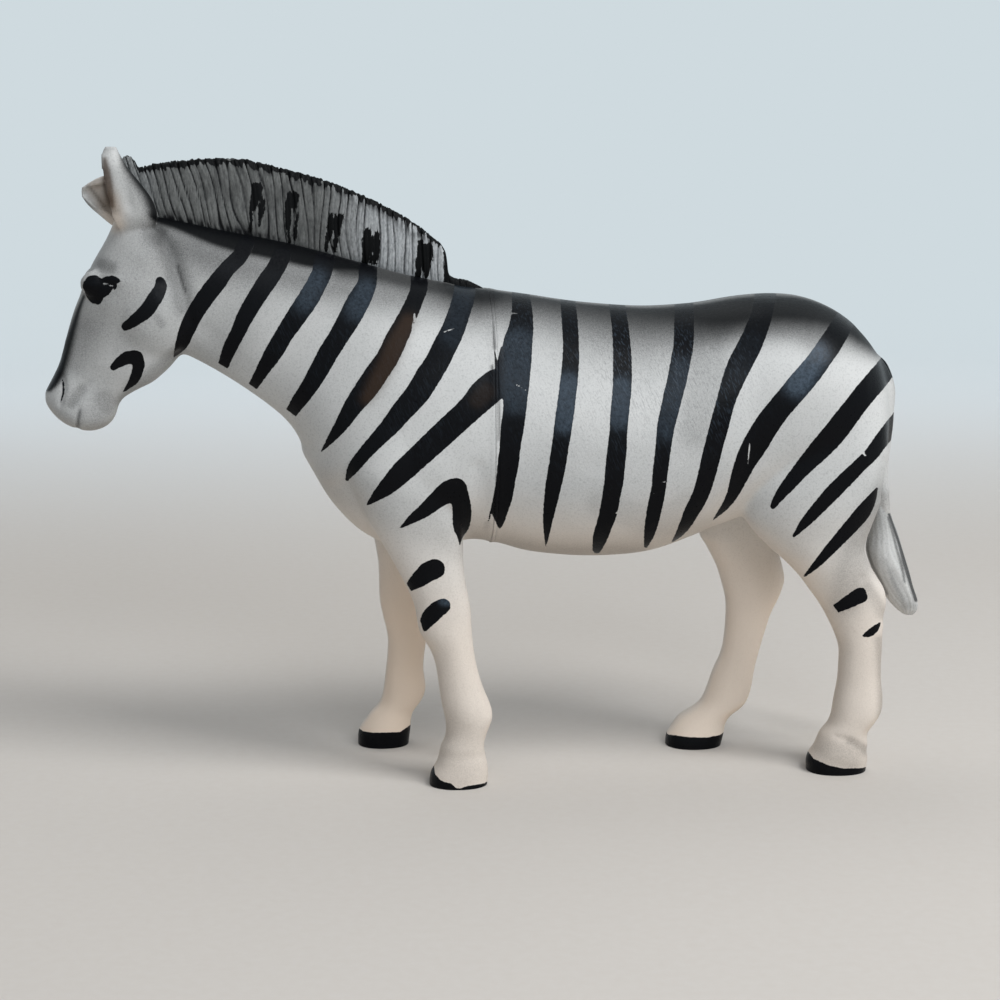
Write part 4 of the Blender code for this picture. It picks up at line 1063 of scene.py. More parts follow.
def tail_sections(table, steps, sides, inset):
    """Rings of the tail; above the tuft they may be set in, to lie under the skin of its root."""
    rings = []
    for outer_x, outer_z, inner_x, inner_z, half in smooth_rows(table, steps):
        outer, inner = tail_point(outer_x, outer_z), tail_point(inner_x, inner_z)
        under = inset * smoothstep(*TAIL_TUFT_SHARES, outer_z)
        outer += (inner - outer).normalized() * under
        rings.append(section(outer, inner, 0, half * TAIL_WIDTH / 2 - under, 0, LIMB_SQUARENESS, sides))
    return rings


def ear_sections(table, side, facing):
    """Rings round the wall of a cupped ear, open towards the facing angle."""
    poll = Vector(neck_point(*POLL_PLACE_SHARES))
    steps = FORM_SIDES // 2
    rings = []
    for row in smooth_rows(table, FORM_STEPS):
        fore = poll + Vector((-row[0], row[1])) * EAR_LENGTH
        rear = poll + Vector((-row[2], row[3])) * EAR_LENGTH
        middle, half = side * row[4] * EAR_SPREAD, row[5] * EAR_THICKNESS / 2
        centre, reach = (fore + rear) / 2, (fore - rear) / 2
        outer, inner = [], []
        for step in range(steps + 1):
            angle = facing + EAR_OPENING / 2 + (2 * math.pi - EAR_OPENING) * step / steps
            for ring, wall in ((outer, 0), (inner, min(EAR_WALL, half * EAR_TIP_WALL_SHARE))):
                along = centre + reach * math.cos(angle) * (1 - wall / (reach.length + EAR_WALL))
                across = middle + (half - wall) * math.sin(angle)
                ring.append((along[0], across, along[1]))
        rings.append(outer + inner[::-1])
    return rings


def swell_pair(bm, place_shares, spread_share, radius, shape_shares):
    """A rounded bulge on both sides of the head, buried in the form that carries it."""
    x, z = head_point(*place_shares)
    radii = Vector(shape_shares) * radius
    for side in (-1, 1):
        place = (x, side * HEAD_WIDTH * spread_share, z)
        shape = Matrix.Translation(place) @ Matrix.Diagonal((*radii, 1))
        bmesh.ops.create_uvsphere(bm, u_segments=FORM_SIDES, v_segments=FORM_SIDES // 2, radius=1,
                                  matrix=shape)


def remeshed(mesh, grain, passes):
    """The overlapping skins of a mesh as one even skin of small faces, softened."""
    draft = new_object("draft", mesh)
    even = draft.modifiers.new("even", "REMESH")
    even.mode = "VOXEL"
    even.voxel_size = grain
    soften = draft.modifiers.new("soften", "SMOOTH")
    soften.iterations = passes
    graph = bpy.context.evaluated_depsgraph_get()
    made = bpy.data.meshes.new_from_object(draft.evaluated_get(graph))
    bpy.data.objects.remove(draft)
    bpy.data.meshes.remove(mesh)
    return made


def body_form(bm):
    """Trunk, neck, head, legs, tail root and cheeks as overlapping closed skins."""
    loft(bm, trunk_sections())
    loft(bm, slanted_sections(NECK_SHARES, neck_point, NECK_WIDTH, NECK_SQUARENESS, NECK_EGG_SHARE))
    loft(bm, slanted_sections(HEAD_SHARES, head_point, HEAD_WIDTH, LIMB_SQUARENESS))
    for leg in LEGS.values():
        loft(bm, leg_sections(*leg))
    loft(bm, tail_sections(TAIL_SHARES[:TAIL_ROOT_ROWS], FORM_STEPS, FORM_SIDES, 0))
    swell_pair(bm, CHEEK_PLACE_SHARES, CHEEK_SPREAD_SHARE, CHEEK_RADIUS, CHEEK_SHAPE_SHARES)


def blend_tail_root(mesh):
    """Fills the crease beside the tail's root, which lies in the same smooth skin as the rump."""
    bm = bmesh.new()
    bm.from_mesh(mesh)
    dock = tail_point(0, TAIL_BLEND_FOOT_SHARE)
    zone = [vert for vert in bm.verts if vert.co.x > dock.x - TAIL_BLEND_REACH and vert.co.z > dock.y]
    for _ in range(TAIL_BLEND_PASSES):
        bmesh.ops.smooth_vert(bm, verts=zone, factor=0.5, use_axis_x=True, use_axis_y=True, use_axis_z=True)
    bm.to_mesh(mesh)
    bm.free()


def crisp_form(bm, body):
    """The softened body with its ears and eyes added."""
    bm.from_mesh(body)
    swell_pair(bm, EYE_PLACE_SHARES, EYE_SPREAD_SHARE, EYE_RADIUS, EYE_SHAPE_SHARES)
    loft(bm, ear_sections(NEAR_EAR_SHARES, -1, 0))
    loft(bm, ear_sections(FAR_EAR_SHARES, 1, -math.pi / 2))


def cut(mesh, place, direction):
    """Cuts the mesh flat, keeps what lies behind the direction, and closes the cut."""
    bm = bmesh.new()
    bm.from_mesh(mesh)
    everything = bm.verts[:] + bm.edges[:] + bm.faces[:]
    bmesh.ops.bisect_plane(bm, geom=everything, plane_co=place, plane_no=direction, clear_outer=True)
    rim = [edge for edge in bm.edges if edge.is_boundary]
    bmesh.ops.holes_fill(bm, edges=rim, sides=0)
    flat = [face for face in bm.faces if len(face.verts) > 4]
    bmesh.ops.triangulate(bm, faces=flat)
    bm.to_mesh(mesh)
    bm.free()


def mesh_points(mesh):
    """Places and outward directions of the mesh's points."""
    arrays = []
    for source, value in ((mesh.vertices, "co"), (mesh.vertex_normals, "vector")):
        flat = np.empty(len(source) * 3, dtype=np.float32)
        source.foreach_get(value, flat)
        arrays.append(flat.reshape(-1, 3).astype(float))
    return arrays


def move_points(mesh, points):
    """Puts the mesh's points at new places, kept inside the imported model's box."""
    inside = np.clip(points, np.array(CAD_LOW), np.array(CAD_HIGH))
    mesh.vertices.foreach_set("co", inside.astype(np.float32).ravel())
    mesh.update()


def keep_values(mesh, **values):
    """Stores each array on the mesh's points, for its material to read."""
    for name, value in values.items():
        layer = mesh.attributes.new(name, "FLOAT", "POINT")
        layer.data.foreach_set("value", value.astype(np.float32))


def outward(points, normals):
    """How far each point's surface faces away from the animal's middle."""
    return np.where(points[:, 1] < 0, -normals[:, 1], normals[:, 1])


def over_poll(points):
    """1 on the ears and 0 on the head."""
    return smoothstep(EAR_ROOT_HEIGHT - MM, EAR_ROOT_HEIGHT + MM, points[:, 2])


def sculpt(mesh):
    """Carves creases, lids, lips and muscles into the fine skin."""
    points, normals = mesh_points(mesh)
    facing = smoothstep(*CARVED_FACING, outward(points, normals))
    lift = np.zeros(len(points))
    for places, carvings, share in (
        (project(folded(points)), CARVINGS_PX, facing),
        (project(points), EAR_CARVINGS_PX, over_poll(points)),
    ):
        for height, soft, stroke in carvings:
            lift += height * share * falloff(-stroke_depth(places, stroke), soft)
    seam = np.abs(points[:, 0] - GIRTH_X) / LIP_WIDTH
    lift += LIP_RISE / MM * np.exp(-(seam - 1) ** 2) * (points[:, 2] > SEAM_FOOT)
    under = smoothstep(*PARTING_FACING, np.minimum(normals[:, 2], normals[:, 0]))
    lift += PARTING_RISE / MM * under * np.exp(-(points[:, 1] / PARTING_WIDTH) ** 2)
    shift = Vector((SWELL_SEED, SWELL_SEED, SWELL_SEED))
    swells = [noise.noise(Vector(point) / SWELL_SIZE + shift) for point in points]
    lift += SWELL_HEIGHT / MM * np.array(swells)
    move_points(mesh, points + normals * lift[:, None] * MM)


def stripe_depth(places):
    """Millimetres inside the painted stripes, negative on the bare skin."""
    depth = np.full(len(places), -float(FAR_OFF_PX))
    for name, stroke in STRIPES_PX.items():
        inside = stroke_depth(places, stroke)
        for start, end in STRIPE_CUTS_PX.get(name, ()):
            run_x, run_y = np.array(end, dtype=float) - np.array(start)
            leftward = np.array((run_y, -run_x)) / math.hypot(run_x, run_y)
            inside = np.minimum(inside, (places - np.array(start)) @ leftward)
        depth = np.maximum(depth, inside)
    return depth * PIXEL_MM


def hoof_depth(points):
    """Millimetres inside the painted hooves, measured down from the paint's upper edge."""
    depth = np.full(len(points), -float(FAR_OFF_PX))
    for name, edge in HOOF_EDGES_PX.items():
        _, x, y, _ = LEGS[name]
        reach = np.abs(points - np.array((x, y, 0)))
        near = np.flatnonzero((reach[:, :2] < HOOF_LENGTH).all(axis=1) & (points[:, 2] < HOOF_LENGTH))
        seen = points[near].copy()
        seen[:, 1] = y - np.abs(seen[:, 1] - y)
        places = project(seen)
        below = places[:, 1] - np.interp(places[:, 0], *np.array(edge).T)
        depth[near] = np.maximum(depth[near], below * PIXEL_MM)
    return depth


def sprayed(places, sprays):
    """Density of a set of soft-edged strokes, 0 to 1."""
    clear = np.ones(len(places))
    for soft, strength, stroke in sprays:
        margin = SPRAY_REACH * soft + max(row[2] for row in stroke)
        clear *= 1 - strength * falloff(-stroke_depth(places, stroke, margin), soft)
    return 1 - clear


def paint(mesh, extra_shade=0.0, warmth=1.0, fold=folded):
    """Stores where the skin is painted, sprayed, given painted shade and painted sheen, and left bare."""
    points, normals = mesh_points(mesh)
    places = project(fold(points))
    direct = project(points)
    out = outward(points, normals)
    outer = smoothstep(*BRUSHED_FACING, out)
    black = np.maximum(stripe_depth(places) - (1 - outer) * BRUSH_LIFT_MM, hoof_depth(points))
    bridge = (np.abs(points[:, 1]) - NOSE_BRIDGE_HALF) / MM
    black = np.where((places < EYE_CORNER_PX).all(axis=1), np.minimum(black, bridge), black)
    near_side = points[:, 1] < 0
    # Bare spots, and painted highlights on the eye, lift the black
    for stroke in SCRATCHES_AND_EYE_GLINTS_PX:
        bare_or_glint = stroke_depth(direct, stroke) * PIXEL_MM
        black = np.where(near_side, np.minimum(black, -bare_or_glint), black)

    ears = over_poll(points)
    # Airbrushed dark paint together with painted shade in creases, under the body and where less light falls
    spray = sprayed(places, SPRAYS_AND_SHADE_PX) * smoothstep(*SPRAYED_FACING, out) * (1 - ears)
    spray += sprayed(direct, EAR_SPRAYS_PX) * ears
    # Painted shade in the girth seam, on the near side
    spray = np.maximum(spray, sprayed(direct, SEAM_SHADE_PX) * near_side)
    spray = 1 - (1 - spray) * (1 - extra_shade)

    # Cream: bare plastic low on the legs, and painted warm bounced light on inward and downward faces
    fore = smoothstep(*FORE_REACH, points[:, 0] - LEGS_MIDDLE)
    inner = smoothstep(*INNER_FACING, out) * (INNER_CREAM_SHARE + FORE_CREAM_SHARE * fore)
    warm = smoothstep(*CREAM_HEIGHTS, points[:, 2]) * (CREAM_SHARE + inner)
    under = smoothstep(*UNDER_FACING, normals[:, 2]) * smoothstep(*UNDER_HEIGHTS, points[:, 2])
    warm = warmth * np.clip(warm + UNDER_CREAM_SHARE * under, 0, 1)
    ear_cream = sprayed(direct, EAR_WARMS_PX) * smoothstep(*EAR_CREAM_HEIGHTS, points[:, 2])
    # The ears' brown is partly painted shade inside the near ear's cup
    brown = np.maximum(sprayed(places, BROWNS_PX), sprayed(direct, EAR_BROWNS_AND_SHADE_PX) * ears)
    keep_values(mesh, black=black, spray=spray, warm=np.maximum(warm, ear_cream), brown=brown,
                rub=sprayed(places, PAINTED_SHEEN_PX), hair=sprayed(places, HAIR_PX) * outer)


def add_piece(name, mesh, material, node):
    """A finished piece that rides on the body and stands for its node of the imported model."""
    made = new_object(name, mesh)
    mesh.materials.clear()
    mesh.materials.append(material)
    mesh.shade_smooth()
    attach(made, "root")
    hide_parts(node)


def add_node(tree, kind, inputs=None, out=0, **settings):
    """Adds a shader node with its settings, and gives one of its outputs.

    Each input is a value, or an output that feeds it.
    """
    made = tree.nodes.new("ShaderNode" + kind)
    for name, value in settings.items():
        setattr(made, name, value)
    for name, value in (inputs or {}).items():
        if isinstance(value, bpy.types.NodeSocket):
            tree.links.new(value, made.inputs[name])
        else:
            made.inputs[name].default_value = value
    return made.outputs[out]


def new_material(name, finish):
    """A material, its node tree and its surface shader, with the finish's values set on the shader."""
    made = bpy.data.materials.new(name)
    made.use_nodes = True
    surface = made.node_tree.nodes["Principled BSDF"]
    for socket, value in finish.items():
        surface.inputs[socket].default_value = value
    return made, made.node_tree, surface


def per(millimetres):
    """Texture scale that repeats once in the given real size."""
    return 1 / (millimetres * MM)


def coated(tree, base, *coats):
    """A colour under coats of paint, each a share and a colour; colours are hex or outputs."""
    shown = base
    for share, colour in coats:
        under, over = ((*linear(c), 1) if isinstance(c, str) else c for c in (shown, colour))
        shown = add_node(tree, "Mix", {0: share, 6: under, 7: over}, 2, data_type="RGBA")
    return shown


def painted_pvc(paints):
    """Moulded soft PVC, sprayed and brush painted.

    The white is a thin satin lacquer with dust in it, the shade is a speckled airbrush mist that also carries
    painted shade, and the stripes are a thicker semi-gloss black with brushed edges, with painted grey-blue
    sheen where light glances off it.
    """
    finish = {"IOR": PAINT_IOR, "Specular IOR Level": PAINT_GLOSS}
    made, tree, surface = new_material("moulded_pvc_painted", finish)
    place = add_node(tree, "TexCoord", out="Object")
    black, spray, warm, rub, hairy, brown = (
        add_node(tree, "Attribute", out="Fac", attribute_name=name)
        for name in ("black", "spray", "warm", "rub", "hair", "brown")
    )

    # Engraved hair: fine strokes that run down and back, with painted highlights along them on the black, and
    # the white darker along them
    lie = add_node(tree, "Mapping", {
        "Vector": place, "Rotation": (0, HAIR_LEAN, 0), "Scale": (0.30 * MM, 0.9 * MM, 2.2 * MM),
    }, vector_type="TEXTURE")
    strokes = add_node(tree, "TexNoise", {"Vector": lie, "Scale": 1.0, "Detail": 1.0})
    scored = add_node(tree, "MapRange", {"Value": strokes, "From Min": 0.54, "From Max": 0.66})
    hair = add_node(tree, "Math", {0: scored, 1: hairy}, operation="MULTIPLY")

    # White lacquer: faint clouds, dust specks, and bare cream plastic where the lacquer is thin, with painted
    # warm bounced light on inward and downward faces
    clouds = add_node(tree, "TexNoise", {"Vector": place, "Scale": per(9), "Detail": 3.0})
    dust = add_node(tree, "TexNoise", {"Vector": place, "Scale": per(0.42), "Detail": 2.0})
    specks = add_node(tree, "MapRange", {"Value": dust, "From Min": 0.50, "From Max": 0.74, "To Max": 0.34})
    hair_streaks = add_node(tree, "Math", {0: hair, 1: 0.30}, operation="MULTIPLY")

    # Airbrush mist, which carries the airbrushed dark paint and the painted shade: where it is half dense it
    # breaks into fine droplets
    mist = add_node(tree, "TexNoise", {"Vector": place, "Scale": per(0.24), "Detail": 2.0})
    droplets = add_node(tree, "MapRange", {
        "Value": mist, "From Min": 0.30, "From Max": 0.70, "To Min": -0.42, "To Max": 0.42,
    })
    clear = add_node(tree, "Math", {0: 1.0, 1: spray}, operation="SUBTRACT")
    thin = add_node(tree, "Math", {0: clear, 1: spray}, operation="MULTIPLY")
    density = add_node(tree, "Math", {0: thin, 1: droplets, 2: spray},
                       operation="MULTIPLY_ADD", use_clamp=True)
    sprayed_white = coated(tree, paints.white, (clouds, paints.white_shade), (specks, paints.dust),
                           (hair_streaks, paints.dust), (warm, paints.cream), (density, paints.shade),
                           (brown, paints.brown))

    # Brushed black: its edge wanders by about a tenth of a millimetre, and painted grey-blue sheen lies on it
    # where light glances off
    wander = add_node(tree, "TexNoise", {"Vector": place, "Scale": per(0.9), "Detail": 3.0})
    swing = add_node(tree, "MapRange", {
        "Value": wander, "From Min": 0.25, "From Max": 0.75,
        "To Min": -paints.edge_wander, "To Max": paints.edge_wander,
    })
    edge = add_node(tree, "Math", {0: black, 1: swing}, operation="ADD")
    covered = add_node(tree, "MapRange", {"Value": edge, "From Min": -0.06, "From Max": 0.06},
                       interpolation_type="SMOOTHSTEP")
    grain = add_node(tree, "TexNoise", {
        "Vector": place, "Scale": per(0.7), "Detail": 4.0, "Roughness": 0.65,
    })
    sheen_breakup = add_node(tree, "MapRange", {
        "Value": grain, "From Min": 0.34, "From Max": 0.66, "To Min": 0.42, "To Max": 1.0,
    })
    sheen_cover = add_node(tree, "Math", {0: rub, 1: sheen_breakup}, operation="MULTIPLY", use_clamp=True)
    hair_glints = add_node(tree, "Math", {0: hair, 1: 0.35}, operation="MULTIPLY")
    brushed_black = coated(tree, paints.black, (sheen_cover, paints.black_sheen), (hair_glints, paints.black_sheen),
                           (brown, paints.brown))
    tree.links.new(coated(tree, sprayed_white, (covered, brushed_black)), surface.inputs["Base Color"])

    # Gloss: satin lacquer, shinier black, both dulled by their grain
    gloss = add_node(tree, "MapRange", {
        "Value": covered, "To Min": paints.white_roughness, "To Max": paints.black_roughness,
    })
    uneven = add_node(tree, "MapRange", {
        "Value": grain, "From Min": 0.3, "From Max": 0.7, "To Min": -0.05, "To Max": 0.10,
    })
    rough = add_node(tree, "Math", {0: gloss, 1: uneven}, operation="ADD", use_clamp=True)
    tree.links.new(rough, surface.inputs["Roughness"])

    # Relief in millimetres: engraved hair strokes, paint film, fine grain
    relief = add_node(tree, "Math", {0: covered, 1: 0.03}, operation="MULTIPLY")
    for pattern, height in ((hair, -0.02), (grain, 0.06)):
        relief = add_node(tree, "Math", {0: pattern, 1: height, 2: relief}, operation="MULTIPLY_ADD")
    bump = add_node(tree, "Bump", {"Height": relief, "Distance": MM, "Strength": 1.0})
    tree.links.new(bump, surface.inputs["Normal"])
    return made


def dry_brushed_pvc(mane):
    """Moulded PVC with deep grooves, dry-brushed: dark paint stays low and the ridges rub pale, with painted
    shade down the locks' rounded sides.

    The black is dabbed on with a brush, so its edge breaks up along the grooves.
    """
    finish = {"IOR": PAINT_IOR, "Specular IOR Level": MANE_GLOSS, "Roughness": MANE_ROUGHNESS}
    made, tree, surface = new_material("moulded_pvc_dry_brushed", finish)
    place = add_node(tree, "TexCoord", out="Object")
    groove, black, front, grime = (
        add_node(tree, "Attribute", out="Fac", attribute_name=name)
        for name in ("groove", "black", "front", "grime")
    )
    upright = add_node(tree, "Mapping", {
        "Vector": place, "Scale": (0.35 * MM, 0.6 * MM, 1.1 * MM),
    }, vector_type="TEXTURE")
    grain = add_node(tree, "TexNoise", {
        "Vector": upright, "Scale": 1.0, "Detail": 3.0, "Roughness": 0.65,
    })
    mottle = add_node(tree, "MapRange", {
        "Value": grain, "From Min": 0.30, "From Max": 0.70, "To Min": -0.16, "To Max": 0.44,
    })
    low = add_node(tree, "Math", {0: groove, 1: mottle}, operation="ADD", use_clamp=True)
    swing = add_node(tree, "MapRange", {
        "Value": grain, "From Min": 0.25, "From Max": 0.75, "To Min": -0.35, "To Max": 0.35,
    })
    edge = add_node(tree, "Math", {0: black, 1: swing}, operation="ADD")
    covered = add_node(tree, "MapRange", {"Value": edge, "From Min": -0.08, "From Max": 0.08})
    colour = coated(tree, mane.light, (front, mane.light_front), (low, mane.dark), (grime, mane.dark),
                    (covered, mane.black))
    tree.links.new(colour, surface.inputs["Base Color"])
    bump = add_node(tree, "Bump", {"Height": grain, "Distance": 0.08 * MM})
    tree.links.new(bump, surface.inputs["Normal"])
    return made


def seen_rays(tree):
    """1 for the rays that show a background: to the camera, in reflections and through clear things."""
    rays = add_node(tree, "LightPath").node.outputs
    seen = rays["Is Camera Ray"]
    for kind in ("Is Glossy Ray", "Is Transmission Ray"):
        seen = add_node(tree, "Math", {0: seen, 1: rays[kind]}, operation="MAXIMUM")
    return seen


def seamless_paper(stage):
    """Matt studio paper: a warm pale floor that turns into a cooler, paler wall far behind."""
    made, tree, surface = new_material("studio_paper", {"Roughness": PAPER_ROUGHNESS})
    place = add_node(tree, "TexCoord", out="Object")
    behind = add_node(tree, "SeparateXYZ", {0: place}, "Y")
    turn_start, turn_end, fade_start, fade_end = (
        stage.reach * share for share in PAPER_TURN_SHARES + PAPER_FADE_SHARES
    )
    turn = add_node(tree, "MapRange", {
        "Value": behind, "From Min": turn_start, "From Max": turn_end,
    }, interpolation_type="SMOOTHSTEP")
    fibres = add_node(tree, "TexNoise", {"Vector": place, "Scale": per(2.5), "Detail": 3.0})
    faint = add_node(tree, "Math", {0: fibres, 1: 0.10}, operation="MULTIPLY")
    paper = coated(tree, stage.paper, (turn, stage.wall), (faint, stage.wall))
    tree.links.new(paper, surface.inputs["Base Color"])

    # Far from the toy the paper shows as the room does, so that no end of it is seen from any side
    away = add_node(tree, "VectorMath", {0: place}, "Value", operation="LENGTH")
    fade = add_node(tree, "MapRange", {
        "Value": away, "From Min": fade_start, "From Max": fade_end,
    }, interpolation_type="SMOOTHSTEP")
    hidden = add_node(tree, "Math", {0: fade, 1: seen_rays(tree)}, operation="MULTIPLY")
    shown = add_node(tree, "Emission", {"Color": (*linear(stage.room), 1)})
    blend = add_node(tree, "MixShader", {0: hidden, 1: surface.outputs[0], 2: shown})
    tree.links.new(blend, tree.nodes["Material Output"].inputs["Surface"])
    return made


def build_skins(skin, paints):
    """The two painted shells, cut from one sculpted skin at the girth."""
    body = remeshed(new_mesh("body_form", body_form), skin.body_grain, skin.body_passes)
    blend_tail_root(body)
    form = remeshed(new_mesh("crisp_form", lambda bm: crisp_form(bm, body)), skin.grain, skin.passes)
    cut(form, (0, 0, 0), (0, 0, -1))
    sculpt(form)
    material = painted_pvc(paints)
    rear = form.copy()
    for name, mesh, toward in (("front_shell", form, 1), ("rear_shell", rear, -1)):
        cut(mesh, (GIRTH_X - toward * skin.seam_gap, 0, 0), (toward, 0, 0))
        paint(mesh)
        add_piece(name + "_skin", mesh, material, name)


def build_bead(bead):
    """A half-round line of adhesive that follows the cut end of the rear shell, painted over with it."""
    skin = bpy.data.objects["rear_shell_skin"].data
    points, _ = mesh_points(skin)
    rim = points[np.abs(points[:, 0] - points[:, 0].min()) < SEAM_TOLERANCE]
    rim = rim[rim[:, 2] > SEAM_FOOT, 1:]
    middle = (rim.max(axis=0) + rim.min(axis=0)) / 2
    spokes = rim - middle
    angles = np.arctan2(spokes[:, 1], spokes[:, 0])
    reach = np.linalg.norm(spokes, axis=1)
    outermost = reach > RIM_SHARE * np.median(reach)
    order = np.argsort(angles[outermost])
    angles, reach = angles[outermost][order], reach[outermost][order]
    rings = []
    for step in range(bead.segments):
        angle = -math.pi + 2 * math.pi * step / bead.segments
        radius = np.interp(angle, angles, reach, period=2 * math.pi)
        drift = noise.noise(Vector((math.cos(angle), math.sin(angle), 0)) * BEAD_DRIFTS)
        ring = []
        for side in range(BEAD_SIDES):
            turn = 2 * math.pi * side / BEAD_SIDES
            swell_share = 1 + BEAD_DRIFT_SHARE * drift if math.sin(turn) > 0 else bead.depth / bead.rise
            out = radius + bead.rise * swell_share * math.sin(turn)
            ring.append((GIRTH_X + bead.width / 2 * math.cos(turn),
                         middle[0] + out * math.cos(angle), middle[1] + out * math.sin(angle)))
        rings.append(ring)
    mesh = new_mesh("girth_bead_line", lambda bm: loft(bm, rings, looped=True))
    move_points(mesh, mesh_points(mesh)[0])
    paint(mesh)
    add_piece("girth_bead_line", mesh, skin.materials[0], "girth_bead")


def mane_outline(columns):
    """Mane table, read at even steps from forelock to withers: ahead, rise, height, thickness."""
    table = smooth_rows(MANE_SHARES, MANE_TABLE_STEPS)[::-1]
    ahead = np.linspace(table[-1, 0], table[0, 0], columns)
    return np.stack([ahead] + [np.interp(ahead, table[:, 0], table[:, i]) for i in (1, 2, 3)], axis=1)


def build_mane(mane):
    """The upright mane: leaning locks with grooves between them and a toothed top edge."""
    rows = mane_outline(mane.columns)
    mesh = new_mesh("mane_locks", lambda bm: loft(bm, [
        section((x, z + height * MANE_HEIGHT), (x, z - MANE_ROOT), 0, thick * MANE_THICKNESS / 2,
                MANE_EGG_SHARE, MANE_SQUARENESS, mane.sides)
        for (x, z), height, thick in ((neck_point(row[0], row[1]), row[2], row[3]) for row in rows)
    ]))
    points, _ = mesh_points(mesh)
    ahead = (GIRTH_X - points[:, 0]) / NECK_LENGTH
    flipped = rows[::-1]
    foot = BACK_HEIGHT + np.interp(ahead, flipped[:, 0], flipped[:, 1]) * NECK_LENGTH
    height = np.interp(ahead, flipped[:, 0], flipped[:, 2]) * MANE_HEIGHT
    above = points[:, 2] - foot
    share = np.clip(above / np.maximum(height, MM), 0, 1)
    along = points[:, 0] + MANE_LEAN * smoothstep(*LEAN_AHEAD_SHARES, ahead) * above
    side = np.where(points[:, 1] > 0, FAR_SIDE_SHIFT, 0.0)

    def streaks(width, length, seed):
        """Noise between -1 and 1 in upright streaks, different on the two sides."""
        return np.array([noise.noise(Vector((x / width, y + seed, z / length)))
                         for x, y, z in zip(along, side, above)])

    # Locks, their rounding and the hairlines on them
    rough = streaks(*LOCK_STREAK)
    deep = GROOVE_MEAN_SHARE + GROOVE_SWING_SHARE * streaks(*DEPTH_STREAK)
    deep = np.clip(deep, GROOVE_LEAST_SHARE, 1.0)
    wave = np.abs(np.sin(math.pi * (along / mane.lock_spacing + LOCK_WANDER * rough)))
    groove = deep * (1 - smoothstep(0.0, GROOVE_WIDTH_SHARE, wave))
    rounding = (1 - wave) ** 2
    fine_wave = np.abs(np.sin(math.pi * (along / mane.hair_spacing + HAIRLINE_WANDER * rough)))
    hairline = 1 - fine_wave ** HAIRLINE_SHARPNESS
    relief = (RELIEF_SHARES["groove"] * groove + RELIEF_SHARES["rounding"] * rounding
              + RELIEF_SHARES["hairline"] * hairline)
    depth = mane.groove_depth * relief * smoothstep(*FOOT_FADE_SHARES, above / MANE_HEIGHT)
    depth = np.minimum(depth, np.abs(points[:, 1]) * DEEPEST_SHARE)
    points[:, 1] -= np.sign(points[:, 1]) * depth

    # The ragged top
    tooth = (TOOTH_SHARES["groove"] * groove + TOOTH_SHARES["even"]
             + TOOTH_SHARES["ragged"] * streaks(*RAGGED_STREAK))
    tooth = np.clip(mane.tooth_height * tooth, 0, None) * smoothstep(*TOOTH_FADE_SHARES, share)
    points[:, 2] -= tooth * smoothstep(*TOOTH_FADE_HEIGHTS, height)
    move_points(mesh, points)

    # Black bars, top edge and end at the withers, in millimetres, and the chips in them
    places = project(folded(points))
    brushed = streaks(*BRUSH_STREAK)
    bars = np.full(len(points), -float(FAR_OFF_PX))
    for stroke in MANE_BARS_PX:
        bars = np.maximum(bars, stroke_depth(places, stroke))
    bars = bars * PIXEL_MM + BAR_BRUSH * brushed
    below_top = (height - above) / MM
    thick = THIN_EDGE_SHARE + (1 - THIN_EDGE_SHARE) * smoothstep(*THICK_EDGE_AHEAD_SHARES, ahead)
    edge = MANE_EDGE_DEPTH * thick * smoothstep(*EDGE_END_AHEAD_SHARES, ahead) - below_top
    edge += EDGE_BRUSH * brushed + EDGE_GROOVE * groove
    edge = np.minimum(edge, MANE_EDGE_LIMIT - below_top)
    withers = (MANE_END_SHARE - ahead) * NECK_LENGTH / MM
    black = np.maximum.reduce([bars, edge, withers])
    for stroke in MANE_CHIPS_PX:
        black = np.minimum(black, -stroke_depth(places, stroke) * PIXEL_MM)

    # Dark paint left low in the grooves, and painted shade down the rounded sides of the locks, more of both
    # behind the ears
    front = smoothstep(*FRONT_AHEAD_SHARES, ahead)
    front *= 1 - FORELOCK_PALE_SHARE * smoothstep(*FORELOCK_AHEAD_SHARES, ahead)
    # Grey paint on the mane, and a painted shadow along its foot
    grime = sprayed(places, MANE_GREYS_PX) * smoothstep(*GREY_BRUSHED, brushed)
    low = BRUSH_DARK_SHARE * brushed
    for relief_share, (rear_share, front_share) in (
        (groove, GROOVE_DARK_SHARES), (rounding, ROUNDING_DARK_SHARES), (hairline, HAIRLINE_DARK_SHARES),
    ):
        low += relief_share * (rear_share + (front_share - rear_share) * front)
    keep_values(mesh, black=black, groove=np.clip(low, 0, 1), front=front, grime=grime)
    add_piece("mane_locks", mesh, dry_brushed_pvc(mane), "mane")


